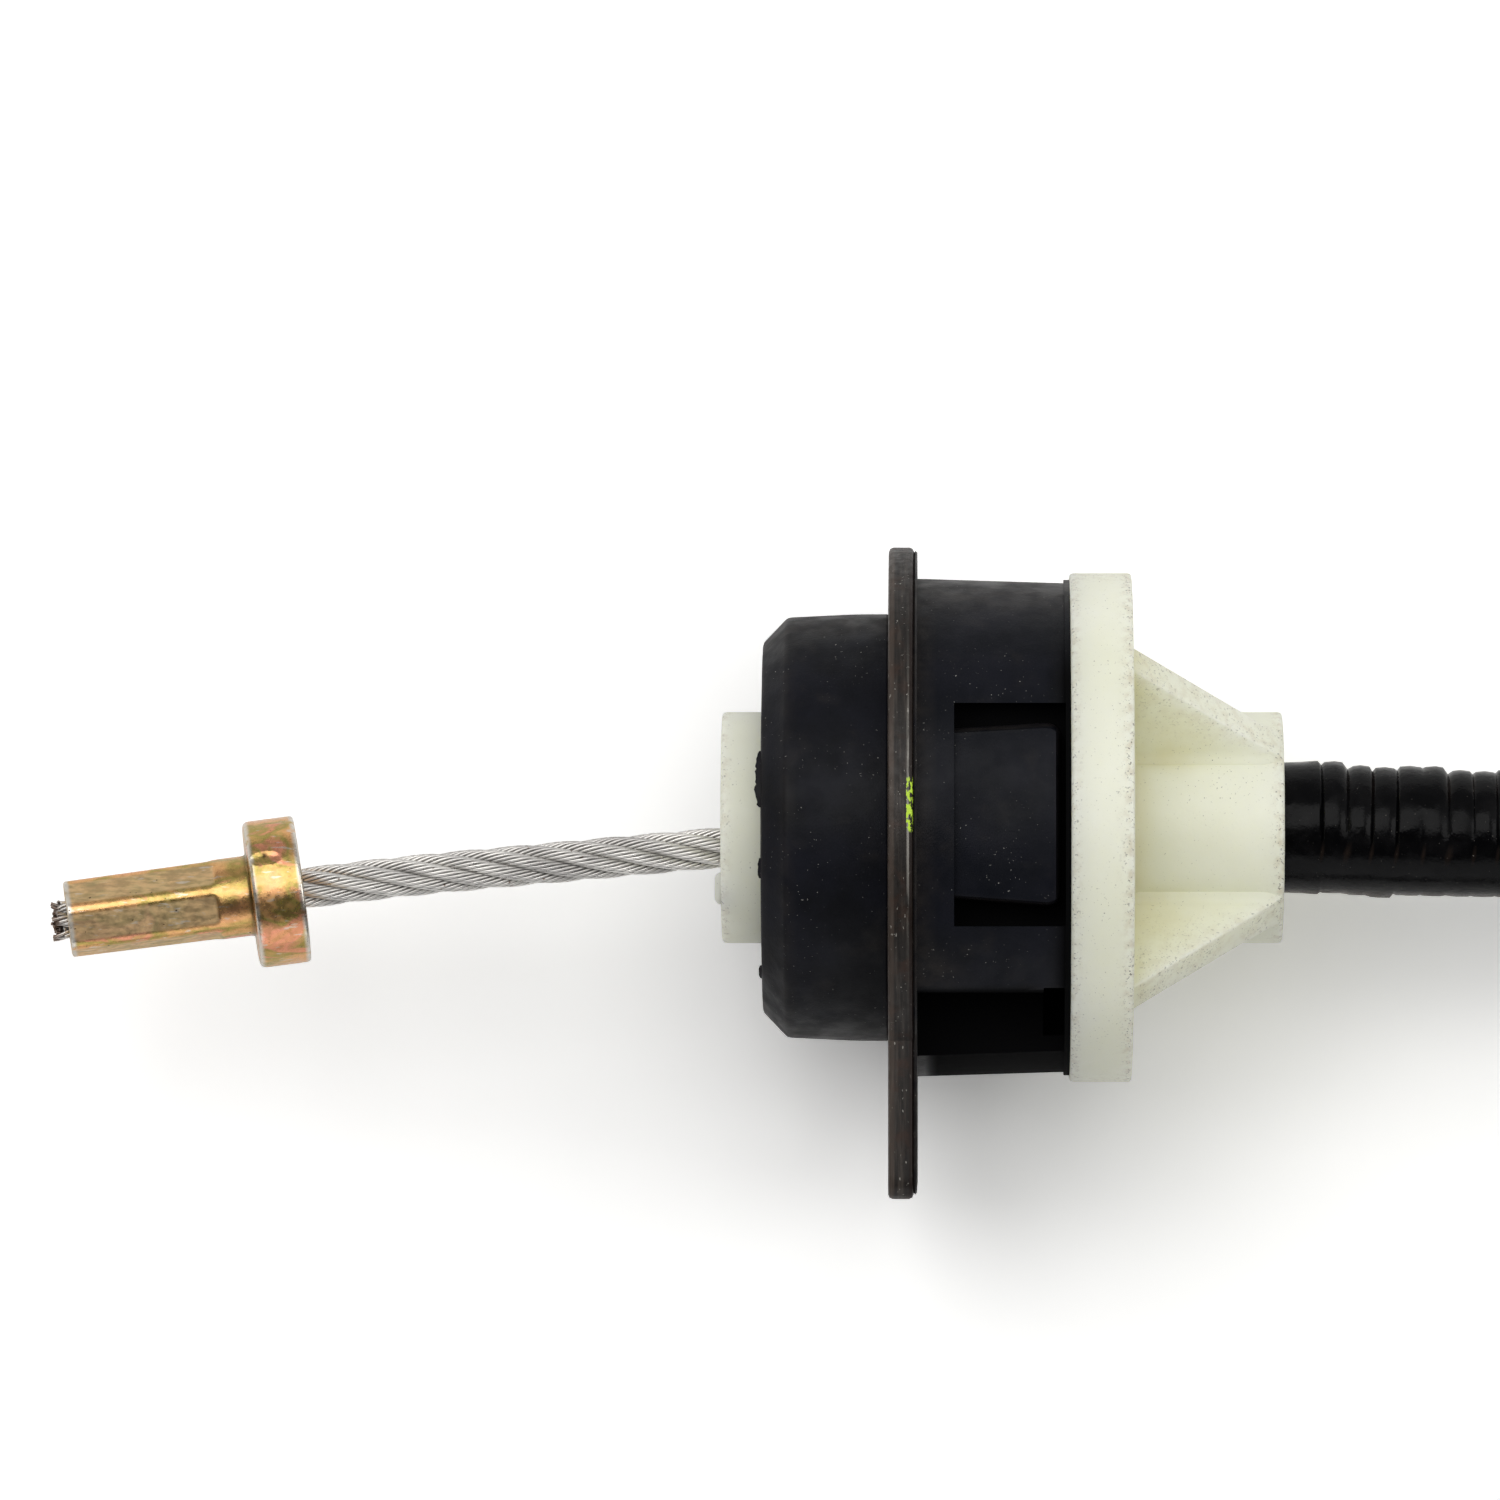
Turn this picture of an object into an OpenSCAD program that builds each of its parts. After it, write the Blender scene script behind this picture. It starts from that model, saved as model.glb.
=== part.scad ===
// Clutch release cable: pedal end with its bulkhead isolator, ribbed casing in a tied coil,
// and the adjustable fork end.
// X runs along the cable, from the pedal fitting (-X) towards the casing (+X).
// The origin is on the cable axis, in the front face of the mounting plate.
// The part lies on its side: the plate's ear points to -Y and the rim of the plate is its foot.

/* [Rope] */
// Diameter of the stranded rope
rope_d = 3.5; // [2.6:0.1:3.8]
// Angle of the free rope to the cable axis
rope_lean = 6.1; // [4:0.1:7.5]
// Length of the bend inside the guide bush
guide_bend_len = 18; // [14:1:22]
// Length of the free, straight stretch of rope
free_rope_len = 34.9; // [20:0.1:60]
// Length of the bend that leads into the pedal fitting
fitting_bend_len = 14.1; // [10:0.1:20]
// Angle of the pedal fitting to the cable axis
fitting_lean = 8.9; // [8:0.1:11]
// How far the rope leans upwards, out of the plane that it shares with the plate's ear
lean_turn = 32.7; // [0:0.1:60]
// Length of the wire ends that stick out of the fitting
wire_end_len = 1.8; // [1:0.1:4]
// Stroke of the rope
stroke = 30; // [20:1:32]

/* [Pedal fitting] */
// Diameter of the collar
collar_d = 13.2; // [10:0.1:16]
// Thickness of the collar
collar_t = 4.6; // [4.4:0.1:6]
// Length of the round neck behind the collar
neck_len = 2.9; // [2:0.1:5]
// Diameter of the neck
neck_d = 7.2; // [6.8:0.1:8]
// Length of the crimped hexagon
crimp_len = 13.8; // [10:0.1:20]
// Width across the flats of the hexagon at the neck
crimp_root_af = 6.5; // [6.2:0.05:6.8]
// Width across the flats of the hexagon at its tip
crimp_tip_af = 6.3; // [6:0.05:6.6]
// Chamfer of the barrel's tip
tip_chamfer = 0.4; // [0.2:0.1:0.6]
// Angle of the hexagon's upper corner to the top, away from the ear
crimp_turn = 15; // [-30:1:30]
// Angle of the punch mark in the collar to the top, away from the ear
mark_turn = 29; // [-90:1:90]
// Distance of the punch mark from the collar's rope side
mark_x = 3.1; // [2:0.1:3.5]
// Chamfer of the collar's rim
collar_chamfer = 0.6; // [0.2:0.1:1]

/* [Mounting plate] */
// Diameter of the round part
plate_d = 50.4; // [47:0.2:54]
// Thickness of the sheet
plate_t = 2.25; // [1.5:0.05:3.5]
// Distance from the axis to the end of the ear
ear_reach = 32.9; // [31.5:0.1:36]
// Width of the ear
ear_w = 33.6; // [31:0.1:36]
// Radius of the ear's corners
ear_corner_r = 2; // [1:0.5:4]
// Diameter of the two bolt holes
bolt_hole_d = 6.6; // [5:0.1:7]
// Distance between the bolt holes
bolt_spacing = 22; // [18:0.5:24]
// Distance from the end of the ear to the line of the bolt holes
bolt_edge = 5.7; // [5:0.1:6.3]
// Diameter of the hole for the isolator's neck
plate_bore_d = 28; // [25:0.5:32]

/* [Front isolator] */
// Diameter where the boss fills the bulkhead's hole
boss_d = 38.4; // [35:0.2:41]
// Length of the boss in front of the plate
boss_len = 11.4; // [9:0.1:15]
// Length of the cylindrical land beside the plate
boss_land = 3; // [2:0.5:5]
// How much smaller the radius is in front of the land
boss_draft = 0.3; // [0.1:0.1:1]
// Chamfer of the front edge
boss_chamfer = 2.3; // [1:0.1:3.5]

/* [Rear isolator] */
// Diameter of the rear isolator
rear_d = 44.8; // [41:0.2:47]
// Length of the rear isolator
rear_len = 13.95; // [11:0.05:18]
// Thickness of the skin that covers the plate's rear face
skin_t = 0.3; // [0.2:0.05:0.6]
// How far the skin stays inside the rim of the plate and clear of its bolt holes
skin_inset = 0.3; // [0.1:0.1:1]
// Width of the thin lip beside the flange
lip_w = 0.5; // [0.3:0.1:1]
// How far the lip stands proud
lip_h = 0.3; // [0.1:0.1:0.5]
// How much the block's radius falls from the plate to the lip
rear_draft = 0.4; // [0.1:0.1:0.6]
// Wall left between the plate and the pocket
pocket_wall = 3.6; // [2:0.1:5]
// Upper side of the pocket, measured from the axis
pocket_top = 11.3; // [8:0.1:12]
// Lower side of the pocket, measured from the axis
pocket_low = 8.8; // [6:0.1:10]
// Depth of the pocket below the outer surface
pocket_depth = 6; // [4:0.1:7]
// Width of the gap round the pad in the pocket
pocket_gap = 1.8; // [1:0.1:2.5]
// How far the pad lies below the outer surface
pad_drop = 1.6; // [0.5:0.1:3]
// Radius of the pad's corners
pad_corner_r = 1.8; // [0.5:0.1:3]
// Distance from the axis to the step beside the ear
step_offset = 14.5; // [13:0.1:17]
// Height of the step's floor above the axis
step_floor = 9.5; // [7:0.1:12]
// Width of the slot in the step, along the axis
slot_w = 1.9; // [1:0.1:3]
// Length of the slot in the step
slot_len = 4; // [2:0.1:5]
// Depth of the slot below the step's floor
slot_depth = 4; // [2:0.1:6]

/* [End housing] */
// Diameter of the sleeve
sleeve_d = 20.8; // [18:0.2:23]
// How far the sleeve stands out of the front isolator
sleeve_nose = 3.6; // [2:0.1:6]
// Diameter of the flange
flange_d = 45.8; // [42:0.2:48]
// Thickness of the flange
flange_t = 5.6; // [4:0.1:8]
// Length of the sleeve behind the flange
sleeve_tail = 13.7; // [10:0.1:18]
// Thickness of the webs
web_t = 3; // [2:0.1:4]
// Distance from the axis to the top of the webs at the flange
web_reach = 21.3; // [18:0.1:22.5]
// Chamfer of the housing's edges
housing_chamfer = 0.5; // [0.2:0.1:1]
// Depth of the seat that holds the casing
seat_depth = 15.5; // [12:0.1:17]
// Distance from the casing's seat to the place where the rope starts to bend
bend_setback = 6; // [5:0.5:8]
// Distance from there to the inner end of the guide bush
bush_setback = 1; // [0.5:0.1:2]

/* [Casing] */
// Diameter of the casing over its jacket
casing_d = 11.8; // [10.6:0.1:12.4]
// Pitch of the bands
band_pitch = 2.25; // [1.8:0.05:3]
// Depth of the grooves between the bands
groove_depth = 0.3; // [0.1:0.05:0.5]
// Thickness of the jacket
jacket_t = 1.7; // [1.4:0.1:1.9]
// Thickness of the flat wire armour
armour_t = 1.4; // [0.8:0.1:1.4]
// Thickness of the liner
liner_t = 0.6; // [0.3:0.1:0.6]
// Distance between neighbouring turns of the coil
coil_step = 12.4; // [12.3:0.1:14]
// Radius of the outermost turn of the coil
coil_r = 72; // [66:1:80]

/* [Coil ties] */
// Width of a tie
tie_w = 4.6; // [3:0.1:7]
// Thickness of a tie
tie_t = 1.2; // [0.8:0.1:1.3]

/* [Fork end] */
// Diameter of the ferrule over the casing
ferrule_d = 14.6; // [14:0.1:17]
// Length of casing that the ferrule holds
ferrule_grip = 20; // [14:0.5:24]
// Diameter of the ferrule's nose
nose_d = 12; // [10:0.1:14]
// Diameter of the ferrule's shoulder
shoulder_d = 18; // [16:0.5:20]
// Thickness of the ferrule's shoulder
shoulder_t = 2; // [1:0.1:3]
// Diameter of the grommet that fills the bracket's hole
spigot_d = 21; // [20:0.2:23]
// Length of the grommet in the bracket's hole
spigot_len = 12; // [8:0.5:16]
// Diameter of the grommet's flange
grommet_flange_d = 24; // [23.6:0.2:24]
// Thickness of the grommet's flange
grommet_flange_t = 2.5; // [1.5:0.1:4]
// Number of folds of the dust boot
boot_folds = 4; // [3:1:6]
// Distance between the folds of the dust boot
boot_pitch = 3.8; // [3:0.1:5]
// Largest diameter of the dust boot
boot_d = 17.6; // [16:0.2:19]
// Wall of the dust boot
boot_wall = 1.1; // [0.8:0.1:1.5]
// Length of the boot's cuff and of its lip
boot_cuff = 5; // [3:0.5:7]
// Rope left free between the boot and the stud at full stroke
spare_rope = 10; // [4:1:20]
// Diameter of the stud's thread
thread_d = 7.9; // [6.9:0.1:8.9]
// Pitch of the thread
thread_pitch = 1.25; // [1:0.05:1.5]
// Length of the thread
thread_len = 38; // [32:1:50]
// Diameter of the stud's shank
shank_d = 9.2; // [9:0.1:10]
// Length of the stud's shank
shank_len = 18; // [12:1:24]
// Length of rope held in the shank
shank_grip = 15; // [10:1:20]
// Distance from the shank to the pivot washer
washer_gap = 10; // [9:0.5:14]
// Diameter of the pivot washer
washer_d = 19; // [16:0.5:20]
// Thickness of the pivot washer
washer_t = 6; // [4:0.5:8]
// Width across the flats of the nuts
nut_af = 13; // [12:0.5:14]
// Thickness of the adjuster nut
nut_t = 8; // [6:0.5:10]
// Thickness of the lock nut
lock_t = 5; // [3:0.5:6]

/* [Fits] */
// Radial play of pieces that slip over each other
fit = 0.1; // [0.05:0.01:0.15]
// Radial play of the rope in its liner and guide
rope_play = 0.15; // [0.1:0.05:0.4]
// Radial play of the nuts on the thread
thread_play = 0.08; // [0.04:0.01:0.1]

/* [Hidden] */
$fn = 64;

// Cuts run this far past the face they leave.
past = 1;
// Neighbouring solids of one piece share this much.
root = 0.4;

rope_r = rope_d / 2;
casing_r = casing_d / 2;
sleeve_r = sleeve_d / 2;
rear_r = rear_d / 2;
neck_r = plate_bore_d / 2 - fit;
bolt_offset = ear_reach - bolt_edge;

// Stations along the axis.
boss_x = -boss_len;
sleeve_front_x = boss_x - sleeve_nose;
skin_x = plate_t;
flange_x = skin_x + rear_len;
web_x = flange_x + flange_t;
sleeve_back_x = web_x + sleeve_tail;
seat_x = sleeve_back_x - seat_depth;

// Bores of the casing, from the inside out.
liner_bore_r = rope_r + rope_play;
liner_r = liner_bore_r + liner_t;
armour_bore_r = liner_r + fit;
armour_r = armour_bore_r + armour_t;
jacket_bore_r = max(casing_r - jacket_t, armour_r + fit);
seat_r = casing_r + fit;

// The guide bush flares like the rope's own bend.
bend_x = seat_x - bend_setback;
bush_end_x = bend_x - bush_setback;
bush_r = seat_r;
bend_r = guide_bend_len / (rope_lean * PI / 180);
function flare(x) = liner_bore_r + bend_r - sqrt(bend_r * bend_r - pow(bend_x - x, 2));
flare_steps = 10;

// The casing's route where it isn't coiled, chosen by hand.
lead_route = [
    [60, 0, 0], [66, 0, 0], [72, 0, 0], [78, 0, -0.2], [84, 0, -0.8], [90, 0, -1.7], [96, 0, -2.8],
    [102, 0, -3.9], [108, 0, -4.8], [114, 0, -5.4], [120, 0, -5.6], [126, 0, -5.6], [132, 0, -5.6],
];
tail_route = [
    [132, -144, -18], [126, -144, -18], [120, -144, -18], [114, -144, -17.7], [108, -144, -16.8],
    [102, -144, -15.6], [96, -144, -14.4], [90, -144, -13.5], [84, -144, -13.2], [78, -144, -13.2],
    [72, -144, -13.2],
];
lead_start = lead_route[0];
tail_end = tail_route[len(tail_route) - 1];
coil_centre = [144, -72];
coil_top_z = -5.6;
coil_low_z = -18;
coil_turns = 2.5;
turn_back = coil_turns / 2;
loop_rings = 24;
far_end_len = 32;
fork_origin = tail_end - [far_end_len, 0, 0];

// A helper for revolved pieces: pts are [x, radius] pairs.
module lathe(pts) {
    rotate([0, 90, 0]) rotate_extrude() polygon([for (p = pts) [p[1], p[0]]]);
}

module rod(x0, x1, r) {
    translate([x0, 0, 0]) rotate([0, 90, 0]) cylinder(r = r, h = x1 - x0);
}

module pipe(x0, x1, r, bore_r) {
    difference() {
        rod(x0, x1, r);
        rod(x0 - past, x1 + past, bore_r);
    }
}

// ---- Rope and pedal fitting -------------------------------------------------------------

// Where a stretch of rope ends: at is [x, y, heading], turn is its change of heading.
function after(at, length, turn) =
    let (bow = turn == 0 ? 0 : length / (turn * PI / 180))
    turn == 0
        ? [at[0] + length * cos(at[2]), at[1] + length * sin(at[2]), at[2]]
        : [
            at[0] + bow * (sin(at[2] + turn) - sin(at[2])),
            at[1] - bow * (cos(at[2] + turn) - cos(at[2])),
            at[2] + turn,
        ];
function bend_points(at, length, turn, steps) = [
    for (i = [1:steps]) let (p = after(at, length * i / steps, turn * i / steps)) [p[0], p[1], 0]
];

rope_inner_x = seat_x + stroke;
bend_in = [bend_x, 0, 180];
free_start = after(bend_in, guide_bend_len, rope_lean);
bend_out = after(free_start, free_rope_len, 0);
fitting_at = after(bend_out, fitting_bend_len, fitting_lean - rope_lean);
barrel_len = collar_t + neck_len + crimp_len;

// The rope bends in one plane, which is turned about the cable's axis.
module lean_up() {
    rotate([-lean_turn, 0, 0]) children();
}

module at_fitting() {
    lean_up() translate([fitting_at[0], fitting_at[1], 0]) rotate([0, 0, fitting_at[2]]) children();
}

// The wires open out a little where they leave the barrel.
module wire_ends() {
    wires = 6;
    splay = 6;
    wire_r = rope_r / 3;
    for (i = [0:wires - 1])
        translate([barrel_len - root, 0, 0]) rotate([i * 360 / wires, 0, 0])
            translate([0, rope_r - wire_r - root / 4, 0]) rotate([0, 90, splay])
                cylinder(r = wire_r, h = wire_end_len + root);
}

// The rope is truly round where it slides in its liner, and a swept tube from there on.
module pedal_rope() {
    inset = 0.02;
    steps = 9;
    barrel_end = after(fitting_at, barrel_len, 0);
    rope_path = concat(
        [[bend_x, 0, 0], [bend_x - root, 0, 0]],
        bend_points(bend_in, guide_bend_len, rope_lean, steps),
        bend_points(free_start, free_rope_len, 0, 1),
        bend_points(bend_out, fitting_bend_len, fitting_lean - rope_lean, steps),
        [[barrel_end[0], barrel_end[1], 0]]
    );
    color("silver") {
        rod(bend_x, rope_inner_x, rope_r);
        lean_up() solid_tube(rope_path, rope_r - inset, 12);
        at_fitting() wire_ends();
    }
}

// A round barrel that is pressed to a hexagon with rounded corners
module crimp() {
    tip = crimp_tip_af / crimp_root_af;
    neck_r = neck_d / 2;
    intersection() {
        rotate([crimp_turn - lean_turn, 0, 0]) rotate([0, 90, 0])
            linear_extrude(height = crimp_len, scale = tip) circle(r = crimp_root_af / sqrt(3), $fn = 6);
        lathe([
            [-past, 0], [-past, neck_r], [crimp_len - tip_chamfer, neck_r],
            [crimp_len, neck_r - tip_chamfer], [crimp_len, 0],
        ]);
    }
}

module pedal_terminal() {
    neck_x = collar_t + neck_len;
    mark_r = collar_d / 17;
    color("darkkhaki") at_fitting() difference() {
        union() {
            lathe([
                [0, 0], [0, collar_d / 2 - collar_chamfer / 2], [collar_chamfer / 2, collar_d / 2],
                [collar_t - collar_chamfer, collar_d / 2], [collar_t, collar_d / 2 - collar_chamfer],
                [collar_t, neck_d / 2], [neck_x, neck_d / 2], [neck_x + root, neck_d / 2 - root],
                [neck_x + root, 0],
            ]);
            translate([neck_x, 0, 0]) crimp();
        }
        rod(-past, barrel_len + past, rope_r);
        // Punch mark of the crimping tool
        rotate([mark_turn - lean_turn, 0, 0]) translate([mark_x, 0, collar_d / 2])
            sphere(r = mark_r);
    }
}

module guide_bush() {
    flare_from = [for (i = [0:flare_steps]) sleeve_front_x + i * (bush_end_x - sleeve_front_x) / flare_steps];
    color("ghostwhite") lathe(concat(
        [[bush_end_x, bush_r], [sleeve_front_x, bush_r]],
        [for (x = flare_from) [x, flare(x)]]
    ));
}

// ---- Bulkhead isolator ------------------------------------------------------------------

module front_isolator() {
    bore_r = sleeve_r + fit;
    boss_r = boss_d / 2;
    color("#232325") lathe([
        [boss_x, bore_r], [boss_x, boss_r - boss_draft - boss_chamfer],
        [boss_x + boss_chamfer, boss_r - boss_draft], [-boss_land, boss_r], [0, boss_r], [0, neck_r],
        [plate_t, neck_r], [plate_t, bore_r],
    ]);
}

module ear() {
    corner_z = ear_w / 2 - ear_corner_r;
    rotate([0, 90, 0]) {
        translate([-corner_z, -ear_reach, 0]) cube([2 * corner_z, ear_reach, plate_t]);
        translate([-ear_w / 2, -ear_reach + ear_corner_r, 0]) cube([ear_w, ear_reach - ear_corner_r, plate_t]);
        for (side = [-1, 1])
            translate([side * corner_z, -ear_reach + ear_corner_r, 0]) cylinder(r = ear_corner_r, h = plate_t);
    }
}

module bolt_holes(x, r) {
    for (side = [-1, 1])
        translate([x, -bolt_offset, side * bolt_spacing / 2]) rod(-past, plate_t + past, r);
}

module mounting_plate() {
    rim = plate_t / 5;
    color("#4b443f") difference() {
        union() {
            lathe([
                [0, 0], [0, plate_d / 2 - rim], [rim, plate_d / 2], [plate_t - rim, plate_d / 2],
                [plate_t, plate_d / 2 - rim], [plate_t, 0],
            ]);
            ear();
        }
        rod(-past, plate_t + past, plate_bore_d / 2);
        bolt_holes(0, bolt_hole_d / 2);
    }
}

// Everything in the rear isolator is drawn from the mould in one line, up and down.
module rear_isolator() {
    bore_r = sleeve_r + fit;
    skin_r = plate_d / 2 - skin_inset;
    lip_x = flange_x - lip_w;
    end_r = rear_r - rear_draft;
    pocket_x = skin_x + pocket_wall;
    pocket_z = rear_r - pocket_depth;
    pad_r = rear_r - pad_drop;
    pad_low = -pocket_low + pocket_gap;
    pad_top = pocket_top - pocket_gap;
    pad_end = lip_x - pocket_gap / 6;
    color("#1f2023") difference() {
        union() {
            difference() {
                lathe([
                    [skin_x, 0], [skin_x, skin_r], [skin_x + skin_t, skin_r], [skin_x + skin_t, rear_r],
                    [lip_x, end_r], [lip_x, end_r + lip_h], [flange_x, end_r + lip_h], [flange_x, 0],
                ]);
                for (side = [0, 1]) mirror([0, 0, side]) {
                    translate([pocket_x, -pocket_low, pocket_z])
                        cube([lip_x - pocket_x, pocket_low + pocket_top, rear_r]);
                    translate([skin_x + skin_t, -rear_r - past, step_floor])
                        cube([lip_x - skin_x - skin_t, rear_r + past - step_offset, rear_r]);
                    translate([lip_x - slot_w, -step_offset - slot_len, step_floor - slot_depth])
                        cube([slot_w, slot_len, rear_r]);
                }
            }
            for (side = [0, 1]) mirror([0, 0, side]) intersection() {
                rod(pocket_x - root, pad_end, pad_r);
                translate([0, 0, pocket_z - root]) {
                    translate([pocket_x - root, pad_low, 0])
                        cube([pad_end - pad_corner_r - pocket_x + root, pad_top - pad_low, rear_r]);
                    translate([pocket_x, pad_low + pad_corner_r, 0])
                        cube([pad_end - pocket_x, pad_top - pad_low - 2 * pad_corner_r, rear_r]);
                    for (y = [pad_low + pad_corner_r, pad_top - pad_corner_r])
                        translate([pad_end - pad_corner_r, y, 0]) cylinder(r = pad_corner_r, h = rear_r);
                }
            }
        }
        rod(skin_x - past, flange_x + past, bore_r);
        bolt_holes(skin_x + skin_t - plate_t, bolt_hole_d / 2 + skin_inset);
    }
}

module web() {
    translate([0, web_t / 2, 0]) rotate([90, 0, 0]) linear_extrude(height = web_t) polygon([
        [web_x - root, sleeve_r - root], [web_x - root, web_reach], [web_x, web_reach],
        [sleeve_back_x - housing_chamfer, sleeve_r], [sleeve_back_x - housing_chamfer, sleeve_r - root],
    ]);
}

module end_housing() {
    c = housing_chamfer;
    flange_r = flange_d / 2;
    color("ivory") difference() {
        union() {
            lathe([
                [sleeve_front_x, 0], [sleeve_front_x, sleeve_r - c / 2], [sleeve_front_x + c / 2, sleeve_r],
                [flange_x, sleeve_r], [flange_x, flange_r - c / 2], [flange_x + c / 2, flange_r],
                [web_x - c, flange_r], [web_x, flange_r - c], [web_x, sleeve_r], [sleeve_back_x - c, sleeve_r],
                [sleeve_back_x, sleeve_r - c], [sleeve_back_x, 0],
            ]);
            for (a = [45:90:315]) rotate([a, 0, 0]) web();
        }
        rod(sleeve_front_x - past, bush_end_x, bush_r);
        rod(bush_end_x - past, seat_x + past, liner_r + fit);
        rod(seat_x, sleeve_back_x + past, seat_r);
    }
}

// ---- Casing -----------------------------------------------------------------------------

// The armour is a flat wire wound edge to edge: a fine groove shows between its turns.
module armour_stretch(x0, x1) {
    gap = band_pitch / 10;
    turns = floor((x1 - x0) / band_pitch - 0.5);
    color("gray") difference() {
        lathe(concat(
            [[x0, 0], [x0, armour_r]],
            [
                for (i = [1:turns]) let (x = x0 + i * band_pitch)
                    each [[x - gap, armour_r], [x, armour_r - gap], [x + gap, armour_r]]
            ],
            [[x1, armour_r], [x1, 0]]
        ));
        rod(x0 - past, x1 + past, armour_bore_r);
    }
}

module liner() {
    color("whitesmoke") {
        pipe(bush_end_x, lead_start[0], liner_r, liner_bore_r);
        at_fork_end() pipe(-far_end_len, 0, liner_r, liner_bore_r);
    }
}

module armour() {
    armour_stretch(seat_x, lead_start[0]);
    at_fork_end() armour_stretch(-far_end_len, 0);
}

// A straight stretch of jacket: bands only between band_x0 and band_x1.
module jacket_stretch(x0, x1, band_x0, band_x1) {
    half = band_pitch / 6;
    grooves = floor((band_x1 - band_x0) / band_pitch);
    color("#202022") difference() {
        lathe(concat(
            [[x0, 0], [x0, casing_r]],
            [
                for (i = [0:grooves - 1]) let (x = band_x0 + (i + 0.5) * band_pitch)
                    each [[x - half, casing_r], [x, casing_r - groove_depth], [x + half, casing_r]]
            ],
            [[x1, casing_r], [x1, 0]]
        ));
        rod(x0 - past, x1 + past, jacket_bore_r);
    }
}

module conduit_end() {
    jacket_stretch(seat_x, lead_start[0], sleeve_back_x + band_pitch, lead_start[0]);
}

module conduit_far_end() {
    at_fork_end() jacket_stretch(-far_end_len, 0, -far_end_len, -ferrule_grip);
}

// Swept tubes: each ring stands square to the route, its first point upwards.
function unit(v) = v / norm(v);
function along(pts, i) = unit(pts[min(i + 1, len(pts) - 1)] - pts[max(i - 1, 0)]);
function ring(centre, heading, r, sides) =
    let (side = unit(cross(heading, [0, 0, 1])), up = cross(side, heading))
    [for (k = [0:sides - 1]) let (a = 90 + k * 360 / sides) centre + r * (cos(a) * side + sin(a) * up)];
function rings(pts, radii, sides) =
    [for (i = [0:len(pts) - 1]) each ring(pts[i], along(pts, i), radii[i], sides)];

// A point of the smooth curve through the route, at t steps from its start.
function smooth(route, t) =
    let (
        i = min(floor(t), len(route) - 2), u = t - i, p1 = route[i], p2 = route[i + 1],
        p0 = i > 0 ? route[i - 1] : 2 * p1 - p2,
        p3 = i < len(route) - 2 ? route[i + 2] : 2 * p2 - p1
    )
    ((2 * p1) + (p2 - p0) * u + (2 * p0 - 5 * p1 + 4 * p2 - p3) * u * u
        + (3 * p1 - p0 - 3 * p2 + p3) * u * u * u) / 2;

// Quads between ring i and ring i + 1 as two triangles each; flip turns them inside out.
function walls(count, sides, first, flip) = [
    for (i = [0:count - 2], k = [0:sides - 1])
        let (
            a = first + i * sides + k, b = first + i * sides + (k + 1) % sides, c = b + sides, d = a + sides
        )
        each flip ? [[a, c, b], [a, d, c]] : [[a, b, c], [a, c, d]]
];

module solid_tube(pts, r, sides) {
    count = len(pts);
    last = (count - 1) * sides;
    polyhedron(
        points = rings(pts, [for (p = pts) r], sides),
        faces = concat(
            walls(count, sides, 0, false),
            [for (k = [1:sides - 2]) [0, k + 1, k]],
            [for (k = [1:sides - 2]) [last, last + k, last + k + 1]]
        )
    );
}

module bored_tube(pts, radii, bore_r, sides) {
    count = len(pts);
    inner = count * sides;
    last = (count - 1) * sides;
    polyhedron(
        points = concat(rings(pts, radii, sides), rings(pts, [for (p = pts) bore_r], sides)),
        faces = concat(
            walls(count, sides, 0, false),
            walls(count, sides, inner, true),
            [
                for (k = [0:sides - 1]) let (n = (k + 1) % sides)
                    each [
                        [k, inner + k, inner + n], [k, inner + n, n],
                        [last + k, last + inner + n, last + inner + k], [last + k, last + n, last + inner + n],
                    ]
            ]
        )
    );
}

// A ribbed stretch: one groove ring and one crown ring for each band.
module ribbed_stretch(route) {
    sides = 8;
    span = norm(route[1] - route[0]) * (len(route) - 1);
    bands = floor(span / band_pitch);
    count = 2 * bands + 1;
    pts = [for (i = [0:count - 1]) smooth(route, i * (len(route) - 1) / (count - 1))];
    radii = [for (i = [0:count - 1]) i % 2 == 0 ? casing_r - groove_depth : casing_r];
    // The flats of the eight sided bore clear the armour.
    color("#202022") bored_tube(pts, radii, jacket_bore_r / cos(180 / sides), sides);
}

module conduit_lead() { ribbed_stretch(lead_route); }

module conduit_tail() { ribbed_stretch(tail_route); }

// The coil winds in on the upper layer, changes layer in the half turn where it turns back,
// and winds out again on the lower layer. p counts turns, clockwise from the entry at the top.
function coil_angle(p) = 90 - 360 * p;
function coil_radius(p) = coil_r - coil_step * min(p, coil_turns - p);
function coil_drop(p) = (1 - cos(180 * min(max((p - turn_back + 0.25) * 2, 0), 1))) / 2;
function coil_height(p) = coil_top_z + (coil_low_z - coil_top_z) * coil_drop(p);
function coil_point(p) = [
    coil_centre[0] + coil_radius(p) * cos(coil_angle(p)),
    coil_centre[1] + coil_radius(p) * sin(coil_angle(p)),
    coil_height(p),
];
coil_run = [for (i = [0:coil_turns * loop_rings]) coil_point(i / loop_rings)];
coil_path = concat(
    [[lead_route[len(lead_route) - 1][0], coil_centre[1] + coil_r, coil_top_z]],
    coil_run,
    [[tail_route[0][0], coil_centre[1] - coil_r, coil_low_z]]
);

// The least gap between the coil's turns, measured on the points of its rings.
coil_gap = min([
    for (i = [0:len(coil_run) - 1], j = [0:len(coil_run) - 1])
        if (j > i + loop_rings / 2) norm(coil_run[i] - coil_run[j])
]) - casing_d;
echo(least_gap_of_the_coil_mm = coil_gap);

module conduit_coil() {
    color("#202022") solid_tube(coil_path, casing_r, 6);
}

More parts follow.
